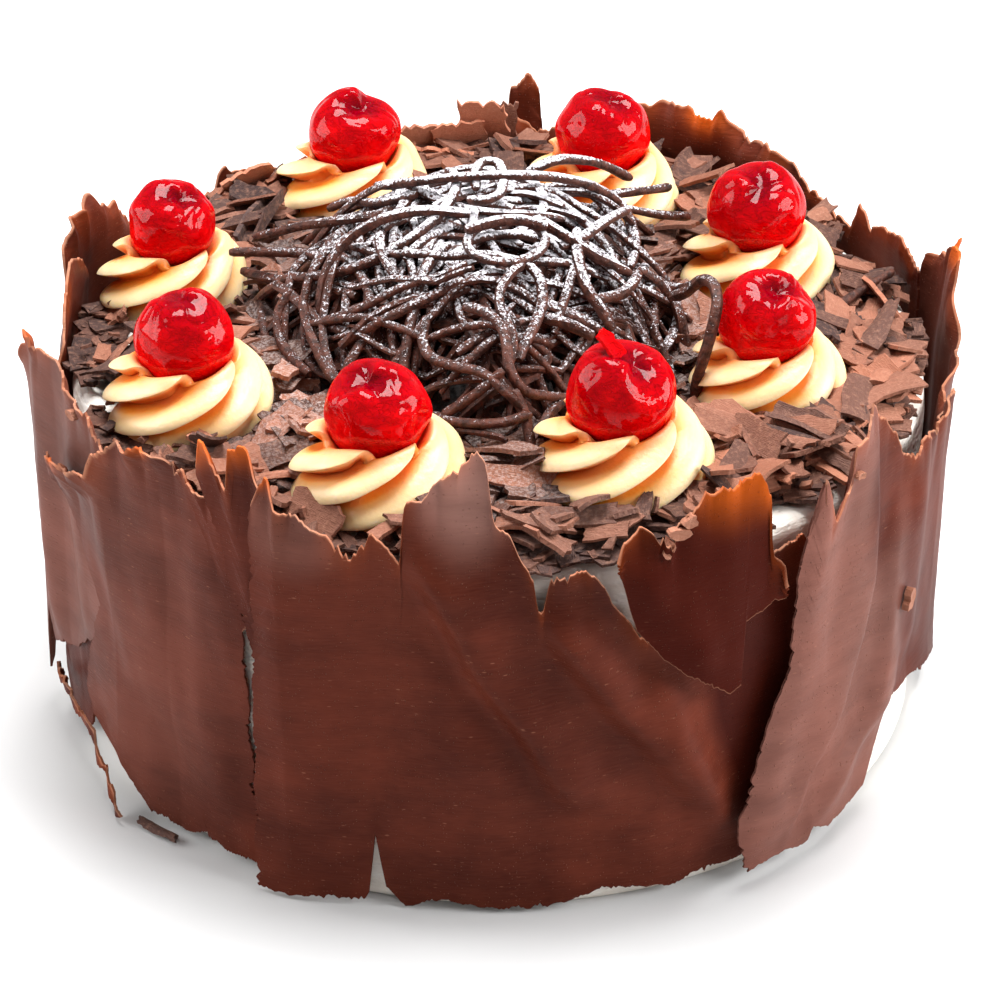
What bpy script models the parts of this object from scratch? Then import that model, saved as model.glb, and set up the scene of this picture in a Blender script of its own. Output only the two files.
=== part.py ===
"""A round black forest cake: a cream-coated cake under chocolate flakes, wrapped in torn chocolate
sheets, with eight piped cream rosettes, a glace cherry on each, and a nest of chocolate strands.

Metres, +Z up. The origin is at the centre of the cake's flat underside, and -Y is the front.
Angles round the cake are in degrees, anticlockwise seen from above, from +X: the front is 270.
"""

import math
import random

import bmesh
import bpy
import numpy as np
from mathutils import Matrix, Vector

MM = 0.001

# The cake and its cream coat
CAKE_RADIUS = 91.5 * MM
CAKE_HEIGHT = 81.0 * MM
CAKE_EDGE = 4.0 * MM  # radius of the rounded top edge
CAKE_FOOT = 1.5 * MM  # radius of the rounded bottom edge
CAKE_SIDES = 60
GAP = 0.3 * MM  # between pieces that rest on each other

# The rosettes stand on a ring whose centre is a little off the cake's
TOPPING_CENTRE = Vector((-6.7 * MM, 1.9 * MM, CAKE_HEIGHT + GAP))
RING_RADIUS = 67.0 * MM
ROSETTE_ANGLES = (113, 164, 210, 254.5, 297.5, 338, 20.5, 63.5)
ROSETTE_SIZES = (0.98, 0.95, 1.0, 1.02, 1.07, 0.98, 1.0, 1.03)  # of each rosette and its cherry
ROSETTE_RADIUS = 16.0 * MM
ROSETTE_HEIGHT = 16.0 * MM
ROSETTE_BLADES = 6
BLADE_SHARES = (0.0, 0.14, 0.40, 0.72)  # where the points across each blade lie: crest, valley, face, face
BLADE_DENTS = (0.0, 1.0, 0.64, 0.24)  # and how deep each is, as a share of the depth
BLADE_DEPTH = 3.0 * MM
ROSETTE_TWIST = 165.0  # degrees that a blade turns from the foot to the rim
SEAT_ANGLE = math.radians(42)  # from straight down, at which the cherry's seat begins

CHERRY_RADIUS = 10.7 * MM
CHERRY_RISE = 20.5 * MM  # centre of the cherry above the rosette's foot
CHERRY_SIDES, CHERRY_RINGS = 12, 8
# Where each cherry's stalk dimple points: degrees round, and degrees up from level
CHERRY_DIMPLES = ((60, 70), (250, 55), (230, 78), (200, 66), (120, 75), (300, 62), (90, 70), (140, 75))

# The nest of strands: its foot's centre, and how far it reaches from there, as (degrees, mm). It
# fills the gaps between the rosettes.
NEST_CENTRE = Vector((-5.2 * MM, 4.5 * MM, CAKE_HEIGHT + GAP))
NEST_REACH = ((0, 50), (20, 45.5), (42, 56), (63, 45.5), (88, 50), (113, 45.5), (138, 53), (160, 46), (187, 55),
              (210, 47), (232, 52), (254, 48), (276, 64), (297, 48), (318, 53), (338, 46), (360, 50))
NEST_HEIGHT = 30.5 * MM
NEST_FALL = 2.7  # power of the share of its reach with which the mound falls away
NEST_SIDES, NEST_RINGS = 14, 4
STRAND_WIDTH = 2.6 * MM
STRAND_LENGTH = (26.0 * MM, 58.0 * MM)
STRAND_COUNT = 24
STRAND_SEGMENTS = 5
STRAND_SEED = 63
# The loops on top of the nest: points in mm from its foot's centre
LOOPS = (
    ((-33, -15.4, 15), (-31.3, -11.6, 22.3), (-27.8, -7.8, 26.6), (-21.5, -5.8, 30.4), (-13.8, -3.9, 32.0),
     (-1.1, -3.8, 31.0)),
    ((-21.4, 16.1, 25), (-12.6, 7.7, 33.3), (-2.6, 6.1, 35.3), (9.4, 5.6, 35.9), (18.7, 9.2, 33.3), (26.7, 14.7, 27.8),
     (32.7, 19.3, 21.3), (34, 14.1, 18.4), (32.7, -4.6, 18.0)),
    ((10.9, 12.3, 30), (15.9, 13.3, 35.2), (22.4, 18.8, 32.9), (28.4, 25.6, 27.9), (33.7, 30.4, 20)),
    ((2.8, -9.5, 31.5), (-1.6, -17.2, 30.5), (4.5, -23.1, 29), (13.9, -16.4, 29), (11.8, -9.4, 31.0), (4, -7.6, 31.8)),
    ((10, -20.9, 28.8), (5.1, -30.6, 27), (7.6, -38.5, 22), (6.9, -44.6, 15)),
)

FLAKE_COUNT = 37
FLAKE_THICKNESS = 1.3 * MM
FLAKE_LENGTH = (7.0 * MM, 15.0 * MM)
FLAKE_RING = (53.0 * MM, 89.0 * MM)  # from the topping's centre, and from the cake's centre

SHEET_THICKNESS = 1.2 * MM
COLUMN_STEP = 7.0  # most degrees between two columns of a sheet's grid
SHEET_LOWEST = 0.4 * MM

# The torn chocolate sheets. "top" and "bottom" are the torn edges from left to right, as (degrees,
# mm up); "left" and "right" are what lies between their ends, from the bottom up, where a side isn't
# straight. "stand" is how far the inner face stands off the cream, as (degrees, mm): a sheet that
# laps over its neighbour stands off more there. "lean" is how far the free top leans out in mm. A
# fold is a ridge: degrees at 40 mm up, degrees further right for each mm down, half width in
# degrees, mm out, and the heights in mm between which it fades.
SHEETS = {
    "sheet_front": {
        "stand": ((240, 5.9), (244, 5.9), (256, 0.9), (262, 0.6), (311, 0.6)),
        "top": ((240.5, 95), (243.4, 104.3), (244.2, 95.5), (246.6, 95.5), (249.4, 91.5), (252.6, 86.5),
                (254.9, 92.4), (258, 86.5), (260.2, 81), (260.9, 99), (263, 106), (267.6, 112), (268.9, 107),
                (269.4, 96), (271.4, 92), (273.8, 83.5), (275, 75), (275.9, 83), (278.6, 84.5), (281.4, 83),
                (283.2, 77), (287, 67), (298, 66), (306, 78), (311, 80)),
        "bottom": ((238.9, 0.6), (245, 0.9), (253.4, 1.3), (254.4, 18), (255.6, 5), (258, 0.4), (262.6, 2.4),
                   (270, 0.8), (276, 0.6), (282.8, 4.2), (292, 2.3), (300, 3.6), (310, 5)),
        "lean": 1.0,
        "folds": ((276, 0.37, 3.4, 2.8, 4, 84), (288.5, 0.31, 3.2, 2.8, 6, 76), (300, 0.45, 2.8, 2.2, 8, 54)),
        "rows": 5,
    },
    "sheet_front_left": {
        "stand": ((197, 6.1), (203, 5.0), (208, 4.4), (214, 4.3), (224, 0.6), (240, 0.6)),
        "top": ((197, 73.4), (204.8, 78.5), (212.3, 82), (213.2, 87), (217, 92.5), (221, 95), (225, 95.5),
                (227.9, 93), (231, 84), (236, 80)),
        "bottom": ((218.4, 1.8), (225, 1.1), (228.8, 2.6), (233.3, 1), (238, 1.7)),
        "left": ((212.7, 12.3), (206.7, 16.1), (204.8, 22.3), (210.3, 48), (202.5, 70)),
        "lean": 0.6,
        "folds": ((222, 0.12, 3.4, 0.9, 20, 92), (227, 0.2, 3.0, 0.7, 10, 60)),
        "rows": 2,
    },
    "sheet_left": {
        "stand": ((183, 7.4), (188, 7.4), (197, 3.6), (205, 2.3), (214, 2.3)),
        "top": ((184, 80), (189.5, 92), (191.3, 99), (193.5, 95.5), (200, 95), (204, 91.7), (209, 91), (213.5, 84)),
        "bottom": ((184, 22), (187, 6), (188.6, 24), (191, 18), (199.4, 25), (207.4, 35), (212, 52)),
        "lean": 0.3,
        "folds": ((193, 0.0, 2.2, 1.3, 22, 92),),
        "rows": 4,
    },
    "sheet_left_low": {
        "stand": ((187, 4.4), (193, 2.6), (197, 1.4), (203, 0.6), (217, 0.6)),
        "top": ((188, 34), (199, 36), (207, 44), (214, 50)),
        "bottom": ((188, 8), (191, 1), (195, 0.6), (199, 2.5), (201, 10), (207, 12), (213, 4), (217, 1)),
        "lean": 0.0,
        "folds": (),
        "rows": 3,
    },
    "strip_left_low": {
        "stand": ((190, 5.4), (199, 5.5), (207, 5.7), (213, 6.5), (218.5, 9.0)),
        "top": ((190, 12.5), (199, 16), (208, 15), (213.5, 10), (218.5, 2.5)),
        "bottom": ((190, 9), (199, 13.5), (207, 12.5), (212, 8), (216.5, 0.6)),
        "lean": 0.0,
        "folds": (),
        "rows": 1,
    },
    "shard_front_left_low": {
        "stand": ((228, 2.4), (238, 2.3)),
        "top": ((227.9, 93.5), (229, 94), (231.6, 91.5), (234.5, 90.5)),
        "bottom": ((235.9, 62), (236.8, 59.5), (237.4, 61)),
        "left": ((232, 80),),
        "lean": 0.6,
        "folds": (),
        "rows": 3,
    },
    "shard_front_left_tall": {
        "stand": ((231, 4.1), (243, 4.1)),
        "top": ((231.9, 98), (232.8, 104.5), (233.8, 104.8), (236.4, 96.5), (237.2, 97.5), (237.9, 107.4),
                (239.9, 106.4), (241, 101), (242.6, 97)),
        "bottom": ((240.2, 53), (241.2, 49), (242.6, 47)),
        "left": ((237.4, 66), (235.2, 82)),
        "lean": 1.0,
        "folds": (),
        "rows": 3,
    },
    "patch_front_right": {
        "stand": ((282, 5.8), (306, 5.7)),
        "top": ((282.5, 89), (283.2, 92.5), (285.6, 95.5), (288, 93.8), (289.4, 90), (290.2, 95.5), (292.4, 99.4),
                (294.6, 102), (299.9, 101.8), (301.6, 97), (302.6, 91), (302.9, 81), (304.6, 79.5), (305.6, 73)),
        "bottom": ((283.2, 84), (285.5, 70), (289, 62.5), (293.2, 55.4), (297.9, 49.8), (299.6, 51.5), (299.2, 61),
                   (298.9, 66), (305.6, 69)),
        "lean": 1.0,
        "folds": ((292, 0.45, 2.6, 1.2, 42, 92),),
        "rows": 3,
    },
    "sheet_right": {
        "stand": ((299, 5.0), (312, 4.2), (322, 1.4), (338, 1.4), (345, 3.4), (353, 3.8)),
        "top": ((309.4, 90), (309.9, 95.5), (310.8, 90), (312, 83.5), (313.9, 88), (315.6, 90.5), (316.2, 97),
                (318.2, 97.6), (320.9, 103), (322.5, 99.5), (326.4, 93), (330.1, 84), (332.1, 81.6), (334.9, 83.4),
                (341, 80), (347, 83), (352, 79)),
        "bottom": ((301.2, 2.4), (307.2, 4), (311.4, 2.4), (312.2, 6.4), (316, 2.4), (321.8, 2.5), (325.2, 4.2),
                   (328.6, 17), (331, 20.3), (337.3, 19.4), (350, 15)),
        "left": ((299.4, 12.2), (299.6, 18.4), (301.8, 30.6), (306.3, 50.9), (307.1, 77.1)),
        "right": ((348, 27), (350, 50)),
        "lean": 0.8,
        "folds": ((315.5, -0.08, 2.6, 1.4, 0, 84), (323, -0.10, 3.0, 1.9, 6, 96), (332, -0.12, 3.2, 1.9, 4, 92)),
        "rows": 2,
    },
    "sheet_right_back": {
        "stand": ((342, 0.6), (353, 0.8), (363, 2.4), (380, 2.4)),
        "top": ((345, 76), (352, 78), (357, 82), (363.3, 94), (363.8, 100), (367.8, 101.5), (369.8, 97),
                (376.4, 90), (378.5, 82)),
        "bottom": ((343, 20), (350, 12), (355, 2.5), (365, 0.8), (372, 2), (380, 1)),
        "lean": 2.4,
        "folds": ((358, 0.0, 2.8, 1.6, 0, 90), (370, 0.0, 3.0, 1.2, 20, 98)),
        "rows": 4,
    },
    "shard_right_back": {
        "stand": ((12, 0.8), (40, 0.8)),
        "top": ((12, 90), (18, 92.5), (25, 90.5), (27.5, 88.5), (30.3, 92.5), (32.6, 84), (35.5, 85.5), (38, 79)),
        "bottom": ((14, 2), (22, 4), (30, 1.5), (40, 3)),
        "lean": -1.6,
        "folds": (),
        "rows": 5,
    },
    "sheet_back_right": {
        "stand": ((33, 2.4), (42, 2.4), (50, 0.6), (84, 0.6)),
        "top": ((33, 80), (38, 84), (44, 88.5), (51, 93), (56.6, 96), (58.1, 99), (59, 96), (65, 98.5),
                (70, 96.5), (77, 90), (82, 84)),
        "bottom": ((34, 1), (42, 3.5), (52, 1), (60, 2), (66, 0.8), (75, 3), (83, 1.5)),
        "lean": 0.8,
        "folds": ((50, 0.12, 3.4, 1.6, 0, 90), (61, 0.1, 3.0, 1.5, 10, 92), (71, 0.06, 3.0, 1.3, 0, 88)),
        "rows": 4,
    },
    "shard_back_tall": {
        "stand": ((82, 4.2), (91, 4.2)),
        "top": ((84.6, 92), (85.4, 100), (86.4, 101.5), (88.1, 98.5), (89, 91)),
        "bottom": ((82, 40), (85, 37), (89, 41)),
        "lean": 0.6,
        "folds": (),
        "rows": 3,
    },
    "sheet_back": {
        "stand": ((78, 2.4), (90, 2.4), (98, 0.6), (113, 0.6)),
        "top": ((78, 84), (83, 88), (86, 88), (89, 91), (92.9, 92), (94.8, 85), (97, 81.5), (101, 83.5), (104, 86),
                (108, 82), (113, 80)),
        "bottom": ((79, 1), (88, 4), (95, 1.5), (104, 2.5), (112, 1)),
        "lean": 0.6,
        "folds": ((99, 0.06, 3.0, 1.4, 0, 84),),
        "rows": 4,
    },
    "sheet_back_left": {
        "stand": ((107, 2.4), (115, 2.4), (122, 0.6), (148, 0.6)),
        "top": ((107, 82), (113, 84), (118, 81), (122.2, 83.5), (123.8, 85), (126.6, 81.5), (129, 86.5),
                (132.5, 86.5), (134.5, 83), (140, 81), (146, 84)),
        "bottom": ((108, 2), (118, 1), (126, 3.5), (136, 1), (147, 2)),
        "lean": 0.6,
        "folds": ((118, 0.08, 3.0, 1.4, 0, 82), (131, 0.0, 3.4, 1.5, 0, 84)),
        "rows": 4,
    },
    "sheet_left_back": {
        "stand": ((141, 2.4), (176, 2.4)),
        "top": ((141, 80), (147, 82), (151, 90), (153, 94.5), (156, 96), (158.3, 101), (160.5, 98.5), (165, 99),
                (169, 94), (172, 80)),
        "bottom": ((142, 1), (152, 3), (160, 1), (167, 2), (174, 4)),
        "lean": 0.6,
        "folds": ((150, 0.05, 3.0, 1.3, 0, 88), (160, 0.0, 3.2, 1.0, 0, 90)),
        "rows": 4,
    },
    "shard_left_back": {
        "stand": ((165, 0.8), (189, 0.8)),
        "top": ((165, 88), (168, 93), (174, 97.5), (180, 94), (185, 87), (188.5, 78)),
        "bottom": ((166, 1), (174, 2), (182, 4), (189, 14)),
        "lean": -4.5,
        "folds": (),
        "rows": 6,
    },
}

# Colour, roughness of each finish
FINISHES = {
    "cream": ((0.86, 0.82, 0.76, 1.0), 0.55),
    "chocolate": ((0.10, 0.035, 0.02, 1.0), 0.42),
    "strands": ((0.05, 0.02, 0.012, 1.0), 0.6),
    "buttercream": ((0.87, 0.62, 0.29, 1.0), 0.38),
    "cherry": ((0.55, 0.0, 0.01, 1.0), 0.12),
}


def clear_scene():
    for obj in list(bpy.data.objects):
        bpy.data.objects.remove(obj, do_unlink=True)


def finish_material(name):
    """A Principled material with the finish's colour and roughness."""
    found = bpy.data.materials.get(name)
    if found:
        return found
    colour, roughness = FINISHES[name]
    material = bpy.data.materials.new(name)
    material.use_nodes = True
    shader = material.node_tree.nodes["Principled BSDF"]
    shader.inputs["Base Color"].default_value = colour
    shader.inputs["Roughness"].default_value = roughness
    return material


def add_object(name, points, faces, finish, collection=None):
    """An object from points in metres and faces; its normals are left as the faces give them."""
    mesh = bpy.data.meshes.new(name)
    mesh.from_pydata([tuple(p) for p in points], [], [tuple(f) for f in faces])
    mesh.validate()
    obj = bpy.data.objects.new(name, mesh)
    (collection or bpy.context.scene.collection).objects.link(obj)
    mesh.materials.append(finish_material(finish))
    return obj


def closed_grid(inner, outer):
    """Faces of a thin solid between two grids of points, both split into triangles alike."""
    columns, rows = inner.shape[:2]
    count = columns * rows
    points = np.concatenate([inner.reshape(-1, 3), outer.reshape(-1, 3)])

    def at(i, j, side):
        return side * count + i * rows + j

    faces = []
    for i in range(columns - 1):
        for j in range(rows - 1):
            a, b, c, d = (at(i, j, 1), at(i + 1, j, 1), at(i + 1, j + 1, 1), at(i, j + 1, 1))
            faces += [(a, b, c), (a, c, d)]
            faces += [(c - count, b - count, a - count), (d - count, c - count, a - count)]
    rim = [(i, 0) for i in range(columns)]
    rim += [(columns - 1, j) for j in range(1, rows)]
    rim += [(i, rows - 1) for i in range(columns - 2, -1, -1)]
    rim += [(0, j) for j in range(rows - 2, 0, -1)]
    for (i, j), (k, m) in zip(rim, rim[1:] + rim[:1]):
        faces += [(at(i, j, 0), at(k, m, 0), at(k, m, 1)), (at(i, j, 0), at(k, m, 1), at(i, j, 1))]
    return points, faces


def smooth(t):
    """A step from 0 to 1 that starts and ends level."""
    t = np.clip(t, 0.0, 1.0)
    return t * t * (3.0 - 2.0 * t)


def sheet_stand_off(sheet, degrees, height):
    """How far a sheet's inner face stands off the cream, in mm: its laps, lean and folds."""
    out = np.interp(degrees, *zip(*sheet["stand"]))
    start, reach = (55.0, 45.0) if sheet["lean"] > 0 else (81.0, 22.0)
    out = out + sheet["lean"] * smooth((height - start) / reach)
    for degrees_at_40, slant, width, depth, low, high in sheet["folds"]:
        distance = (degrees - degrees_at_40 - slant * (40.0 - height)) / width
        fade = smooth((height - low) / 12.0) * smooth((high - height) / 12.0)
        out = out + depth * np.exp(-distance * distance) * fade
    return out


def grid_shares(wanted, others, least, step):
    """Shares from 0 to 1: all those wanted, others where none is near, and fillers step apart."""
    kept = sorted({0.0, 1.0} | set(wanted))
    for share in others:
        if min(abs(share - k) for k in kept) > least:
            kept.append(share)
    kept.sort()
    filled = []
    for a, b in zip(kept, kept[1:]):
        pieces = max(1, math.ceil((b - a) / step))
        filled += [a + (b - a) * k / pieces for k in range(pieces)]
    return np.array(filled + [1.0])


def shares_along(points, axis):
    """How far along each point lies, from the first to the last, measured on one axis."""
    values = [point[axis] for point in points]
    return [(value - values[0]) / (values[-1] - values[0]) for value in values]


def sheet_outline(sheet):
    """The four edges of a sheet, each a list of (degrees, mm up) that meets the next at a corner."""
    top, bottom = list(sheet["top"]), list(sheet["bottom"])
    left = [bottom[0], *sheet.get("left", ()), top[0]]
    right = [bottom[-1], *sheet.get("right", ()), top[-1]]
    return top, bottom, left, right


def edge_across(edge, shares):
    """Points along a top or bottom edge, at shares of its degrees."""
    degrees = edge[0][0] + (edge[-1][0] - edge[0][0]) * shares
    return np.stack([degrees, np.interp(degrees, *zip(*edge))], axis=-1)


def edge_up(edge, shares):
    """Points along a left or right edge, at shares of its height."""
    heights = edge[0][1] + (edge[-1][1] - edge[0][1]) * shares
    return np.stack([np.interp(heights, [h for _, h in edge], [d for d, _ in edge]), heights], axis=-1)


def sheet_grid(sheet):
    """Degrees and heights over a sheet: its four edges blended across and up."""
    top, bottom, left, right = sheet_outline(sheet)
    span = max(top[-1][0] - top[0][0], 1.0)
    across = grid_shares(shares_along(top, 0), shares_along(bottom, 0), 0.016, COLUMN_STEP / span)
    sides = shares_along(left, 1) + shares_along(right, 1)
    up = grid_shares((), sides, 0.05, 1.01 / sheet["rows"])
    low, high = edge_across(bottom, across)[:, None], edge_across(top, across)[:, None]
    near, far = edge_up(left, up)[None], edge_up(right, up)[None]
    u, v = across[:, None, None], up[None, :, None]
    corners = (1 - u) * ((1 - v) * low[0] + v * high[0]) + u * ((1 - v) * low[-1] + v * high[-1])
    blend = (1 - v) * low + v * high + (1 - u) * near + u * far - corners
    return blend[..., 0], blend[..., 1]


def make_sheet(name, sheet):
    """A torn sheet wrapped round the cream."""
    degrees, height = sheet_grid(sheet)
    angle = np.radians(degrees)
    level = np.maximum(height * MM, SHEET_LOWEST)
    inner_radius = CAKE_RADIUS + sheet_stand_off(sheet, degrees, height) * MM

    def face(radius):
        return np.stack([radius * np.cos(angle), radius * np.sin(angle), level], axis=-1)

    points, faces = closed_grid(face(inner_radius), face(inner_radius + SHEET_THICKNESS))
    obj = add_object(name, points, faces, "chocolate")
    obj.data.shade_smooth()
    obj.data.set_sharp_from_angle(angle=math.radians(35))


def rings_to_solid(rings, low_pole, high_pole):
    """Faces of a closed skin through rings of points, from a low pole to a high one."""
    count, sides = len(rings), len(rings[0])
    points = [low_pole] + [p for ring in rings for p in ring] + [high_pole]
    last = len(points) - 1
    faces = []
    for k in range(sides):
        n = (k + 1) % sides
        faces.append((0, 1 + n, 1 + k))
        for r in range(count - 1):
            a, b = 1 + r * sides + k, 1 + r * sides + n
            faces += [(a, b, a + sides), (b, b + sides, a + sides)]
        faces.append((last, 1 + (count - 1) * sides + k, 1 + (count - 1) * sides + n))
    return points, faces


def ring_place(number):
    """The foot of a rosette on the ring, on the cake's top."""
    angle = math.radians(ROSETTE_ANGLES[number])
    return TOPPING_CENTRE + Vector((math.cos(angle), math.sin(angle), 0)) * RING_RADIUS


def make_rosette(number):
    """A piped swirl: a turned profile whose blades twist from the foot up to the cherry's seat."""
    rng = random.Random(100 + number)
    place = ring_place(number)
    size = ROSETTE_SIZES[number]
    seat = CHERRY_RADIUS * size + GAP
    rise = CHERRY_RISE * size
    # Radius and height as shares, how strongly the blades show there, and share of the twist
    profile = [(0.80, 0.0, 0.25, 0.0), (0.98, 0.15, 0.9, 0.14), (1.0, 0.40, 1.0, 0.38), (0.90, 0.70, 0.9, 0.66),
               (0.74, 1.0, 0.35, 0.95)]
    start = rng.uniform(0, 360)
    rings = []
    for radius_share, height_share, strength, turn in profile:
        ring = []
        for k in range(ROSETTE_BLADES * len(BLADE_SHARES)):
            blade, part = divmod(k, len(BLADE_SHARES))
            share = (blade + BLADE_SHARES[part]) / ROSETTE_BLADES
            dent = BLADE_DENTS[part] * BLADE_DEPTH * strength
            angle = math.radians(start + share * 360 + turn * ROSETTE_TWIST)
            radius = ROSETTE_RADIUS * size * radius_share - dent
            level = ROSETTE_HEIGHT * size * height_share
            ring.append(Vector((radius * math.cos(angle), radius * math.sin(angle), level)))
        rings.append(ring)
    # The seat: a ring on the cherry's round, a gap away, and a cone below that touches that round
    seat_radius, below = seat * math.sin(SEAT_ANGLE), seat * math.cos(SEAT_ANGLE)
    seat_ring = []
    for point in rings[-1]:
        angle = math.atan2(point.y, point.x)
        seat_ring.append(Vector((seat_radius * math.cos(angle), seat_radius * math.sin(angle), rise - below)))
    rings.append(seat_ring)
    tip = rise - seat / math.cos(SEAT_ANGLE)
    points, faces = rings_to_solid(rings, Vector((0, 0, 0)), Vector((0, 0, tip)))
    obj = add_object(f"rosette_{number + 1}", points, faces, "buttercream")
    obj.location = place
    obj.data.shade_smooth()
    obj.data.set_sharp_from_angle(angle=math.radians(40))


def make_cherry(number):
    """A glace cherry: a ball a little flattened along its stalk axis, with a dimple at the stalk."""
    size = ROSETTE_SIZES[number]
    full = CHERRY_RADIUS * size
    round_angle, up_angle = (math.radians(a) for a in CHERRY_DIMPLES[number])
    stalk = Vector((math.cos(up_angle) * math.cos(round_angle), math.cos(up_angle) * math.sin(round_angle),
                    math.sin(up_angle)))
    turn = stalk.to_track_quat("Z", "Y").to_matrix()
    rings = []
    for r in range(1, CHERRY_RINGS):
        polar = math.pi * (1 - r / CHERRY_RINGS)
        dimple = 0.30 * math.exp(-((polar / 0.42) ** 2))
        radius = full * (1 - dimple)
        ring = []
        for k in range(CHERRY_SIDES):
            angle = 2 * math.pi * k / CHERRY_SIDES
            local = Vector((math.sin(polar) * math.cos(angle), math.sin(polar) * math.sin(angle),
                            0.95 * math.cos(polar)))
            ring.append(turn @ (local * radius))
        rings.append(ring)
    low, high = turn @ Vector((0, 0, -0.95 * full)), turn @ Vector((0, 0, 0.62 * full))
    points, faces = rings_to_solid(rings, low, high)
    obj = add_object(f"cherry_{number + 1}", points, faces, "cherry")
    obj.location = ring_place(number) + Vector((0, 0, CHERRY_RISE * size))
    obj.data.shade_smooth()


def union_all(base, pieces, collection):
    """Joins every object of the collection to base with one Boolean, then removes them."""
    modifier = base.modifiers.new("join", "BOOLEAN")
    modifier.operation = "UNION"
    modifier.operand_type = "COLLECTION"
    modifier.collection = collection
    modifier.solver = "EXACT"
    bpy.context.view_layer.update()
    graph = bpy.context.evaluated_depsgraph_get()
    joined = bpy.data.meshes.new_from_object(base.evaluated_get(graph))
    base.modifiers.clear()
    base.data = joined
    for piece in pieces:
        bpy.data.objects.remove(piece, do_unlink=True)
    bpy.data.collections.remove(collection)


def drop_scraps(obj):
    """Keeps the largest body of a joined mesh: faces that meet along edges are one body."""
    mesh = bmesh.new()
    mesh.from_mesh(obj.data)
    left, bodies = set(mesh.faces), []
    while left:
        body, queue = set(), [next(iter(left))]
        while queue:
            face = queue.pop()
            if face in body:
                continue
            body.add(face)
            queue += [other for edge in face.edges for other in edge.link_faces]
        bodies.append(body)
        left -= body
    bodies.sort(key=len)
    for body in bodies[:-1]:
        bmesh.ops.delete(mesh, geom=list(body), context="FACES")
    mesh.to_mesh(obj.data)
    mesh.free()


def turned_cake():
    """The cream-coated cake: a turned profile with a rounded top edge and foot."""
    corner_steps = 3
    outline = [(CAKE_RADIUS - CAKE_FOOT, 0.0), (CAKE_RADIUS, CAKE_FOOT)]
    for step in range(corner_steps + 1):
        angle = 0.5 * math.pi * step / corner_steps
        outline.append((CAKE_RADIUS - CAKE_EDGE + CAKE_EDGE * math.cos(angle),
                        CAKE_HEIGHT - CAKE_EDGE + CAKE_EDGE * math.sin(angle)))
    rings = []
    for radius, height in outline:
        rings.append([Vector((radius * math.cos(a), radius * math.sin(a), height))
                      for a in (2 * math.pi * k / CAKE_SIDES for k in range(CAKE_SIDES))])
    points, faces = rings_to_solid(rings, Vector((0, 0, 0)), Vector((0, 0, CAKE_HEIGHT)))
    return add_object("cake", points, faces, "cream")


def flake_shape(rng, length, width):
    """A torn flake: an uneven six-sided plate, lying in its own plane."""
    corners = []
    for k in range(6):
        angle = 2 * math.pi * (k + rng.uniform(-0.25, 0.25)) / 6
        reach = rng.uniform(0.8, 1.1)
        corners.append((0.5 * length * reach * math.cos(angle), 0.5 * width * reach * math.sin(angle)))
    return corners


def flake_is_clear(place, reach):
    """Whether a flake of this reach stays clear of the rosettes, the nest and the sheets."""
    from_toppings = math.hypot(place.x - TOPPING_CENTRE.x, place.y - TOPPING_CENTRE.y)
    if from_toppings - reach < FLAKE_RING[0] - 2.5 * MM or math.hypot(place.x, place.y) + reach > FLAKE_RING[1]:
        return False
    clear = ROSETTE_RADIUS * 1.05 + reach + GAP
    return all(math.hypot(place.x - ring_place(n).x, place.y - ring_place(n).y) > clear
               for n in range(len(ROSETTE_ANGLES)))


def scatter_flakes(collection):
    """Flakes of chocolate lying on the cream between the rosettes and out to the rim."""
    rng = random.Random(7)
    placed = []
    for attempt in range(6000):
        if len(placed) == FLAKE_COUNT:
            break
        length = rng.uniform(*FLAKE_LENGTH)
        width = length * rng.uniform(0.4, 0.75)
        angle, radius = rng.uniform(0, 2 * math.pi), CAKE_RADIUS * math.sqrt(rng.uniform(0.3, 1.0))
        place = Vector((radius * math.cos(angle), radius * math.sin(angle), 0))
        crowded = any((place - other).length < 4.5 * MM for other in placed)
        if crowded or not flake_is_clear(place, 0.52 * length):
            continue
        placed.append(place)
        turn = Matrix.Rotation(rng.uniform(0, 2 * math.pi), 4, "Z")
        tilt = Matrix.Rotation(math.radians(rng.uniform(-14, 14)), 4, "X")
        tilt = tilt @ Matrix.Rotation(math.radians(rng.uniform(-9, 9)), 4, "Y")
        lift = CAKE_HEIGHT + rng.uniform(0.5, 1.2) * MM
        move = Matrix.Translation((place.x, place.y, lift)) @ turn @ tilt
        corners = flake_shape(rng, length, width)
        half = 0.5 * FLAKE_THICKNESS
        points = [move @ Vector((x, y, side * half)) for side in (-1, 1) for x, y in corners]
        faces = [tuple(range(5, -1, -1)), tuple(range(6, 12))]
        faces += [(k, (k + 1) % 6, 6 + (k + 1) % 6, 6 + k) for k in range(6)]
        add_object(f"flake_{len(placed)}", points, faces, "chocolate", collection)
    return list(collection.objects)


def make_cake():
    cake = turned_cake()
    flakes = bpy.data.collections.new("flakes")
    bpy.context.scene.collection.children.link(flakes)
    union_all(cake, scatter_flakes(flakes), flakes)
    drop_scraps(cake)


def nest_reach(x, y):
    """How far the nest reaches from its middle in the direction of this place."""
    return float(np.interp(math.degrees(math.atan2(y, x)) % 360, *zip(*NEST_REACH))) * MM


def nest_level(x, y):
    """Height of the nest's mound above its foot."""
    share = min(math.hypot(x, y) / nest_reach(x, y), 1.0)
    return NEST_HEIGHT * (1 - share ** NEST_FALL)


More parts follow.
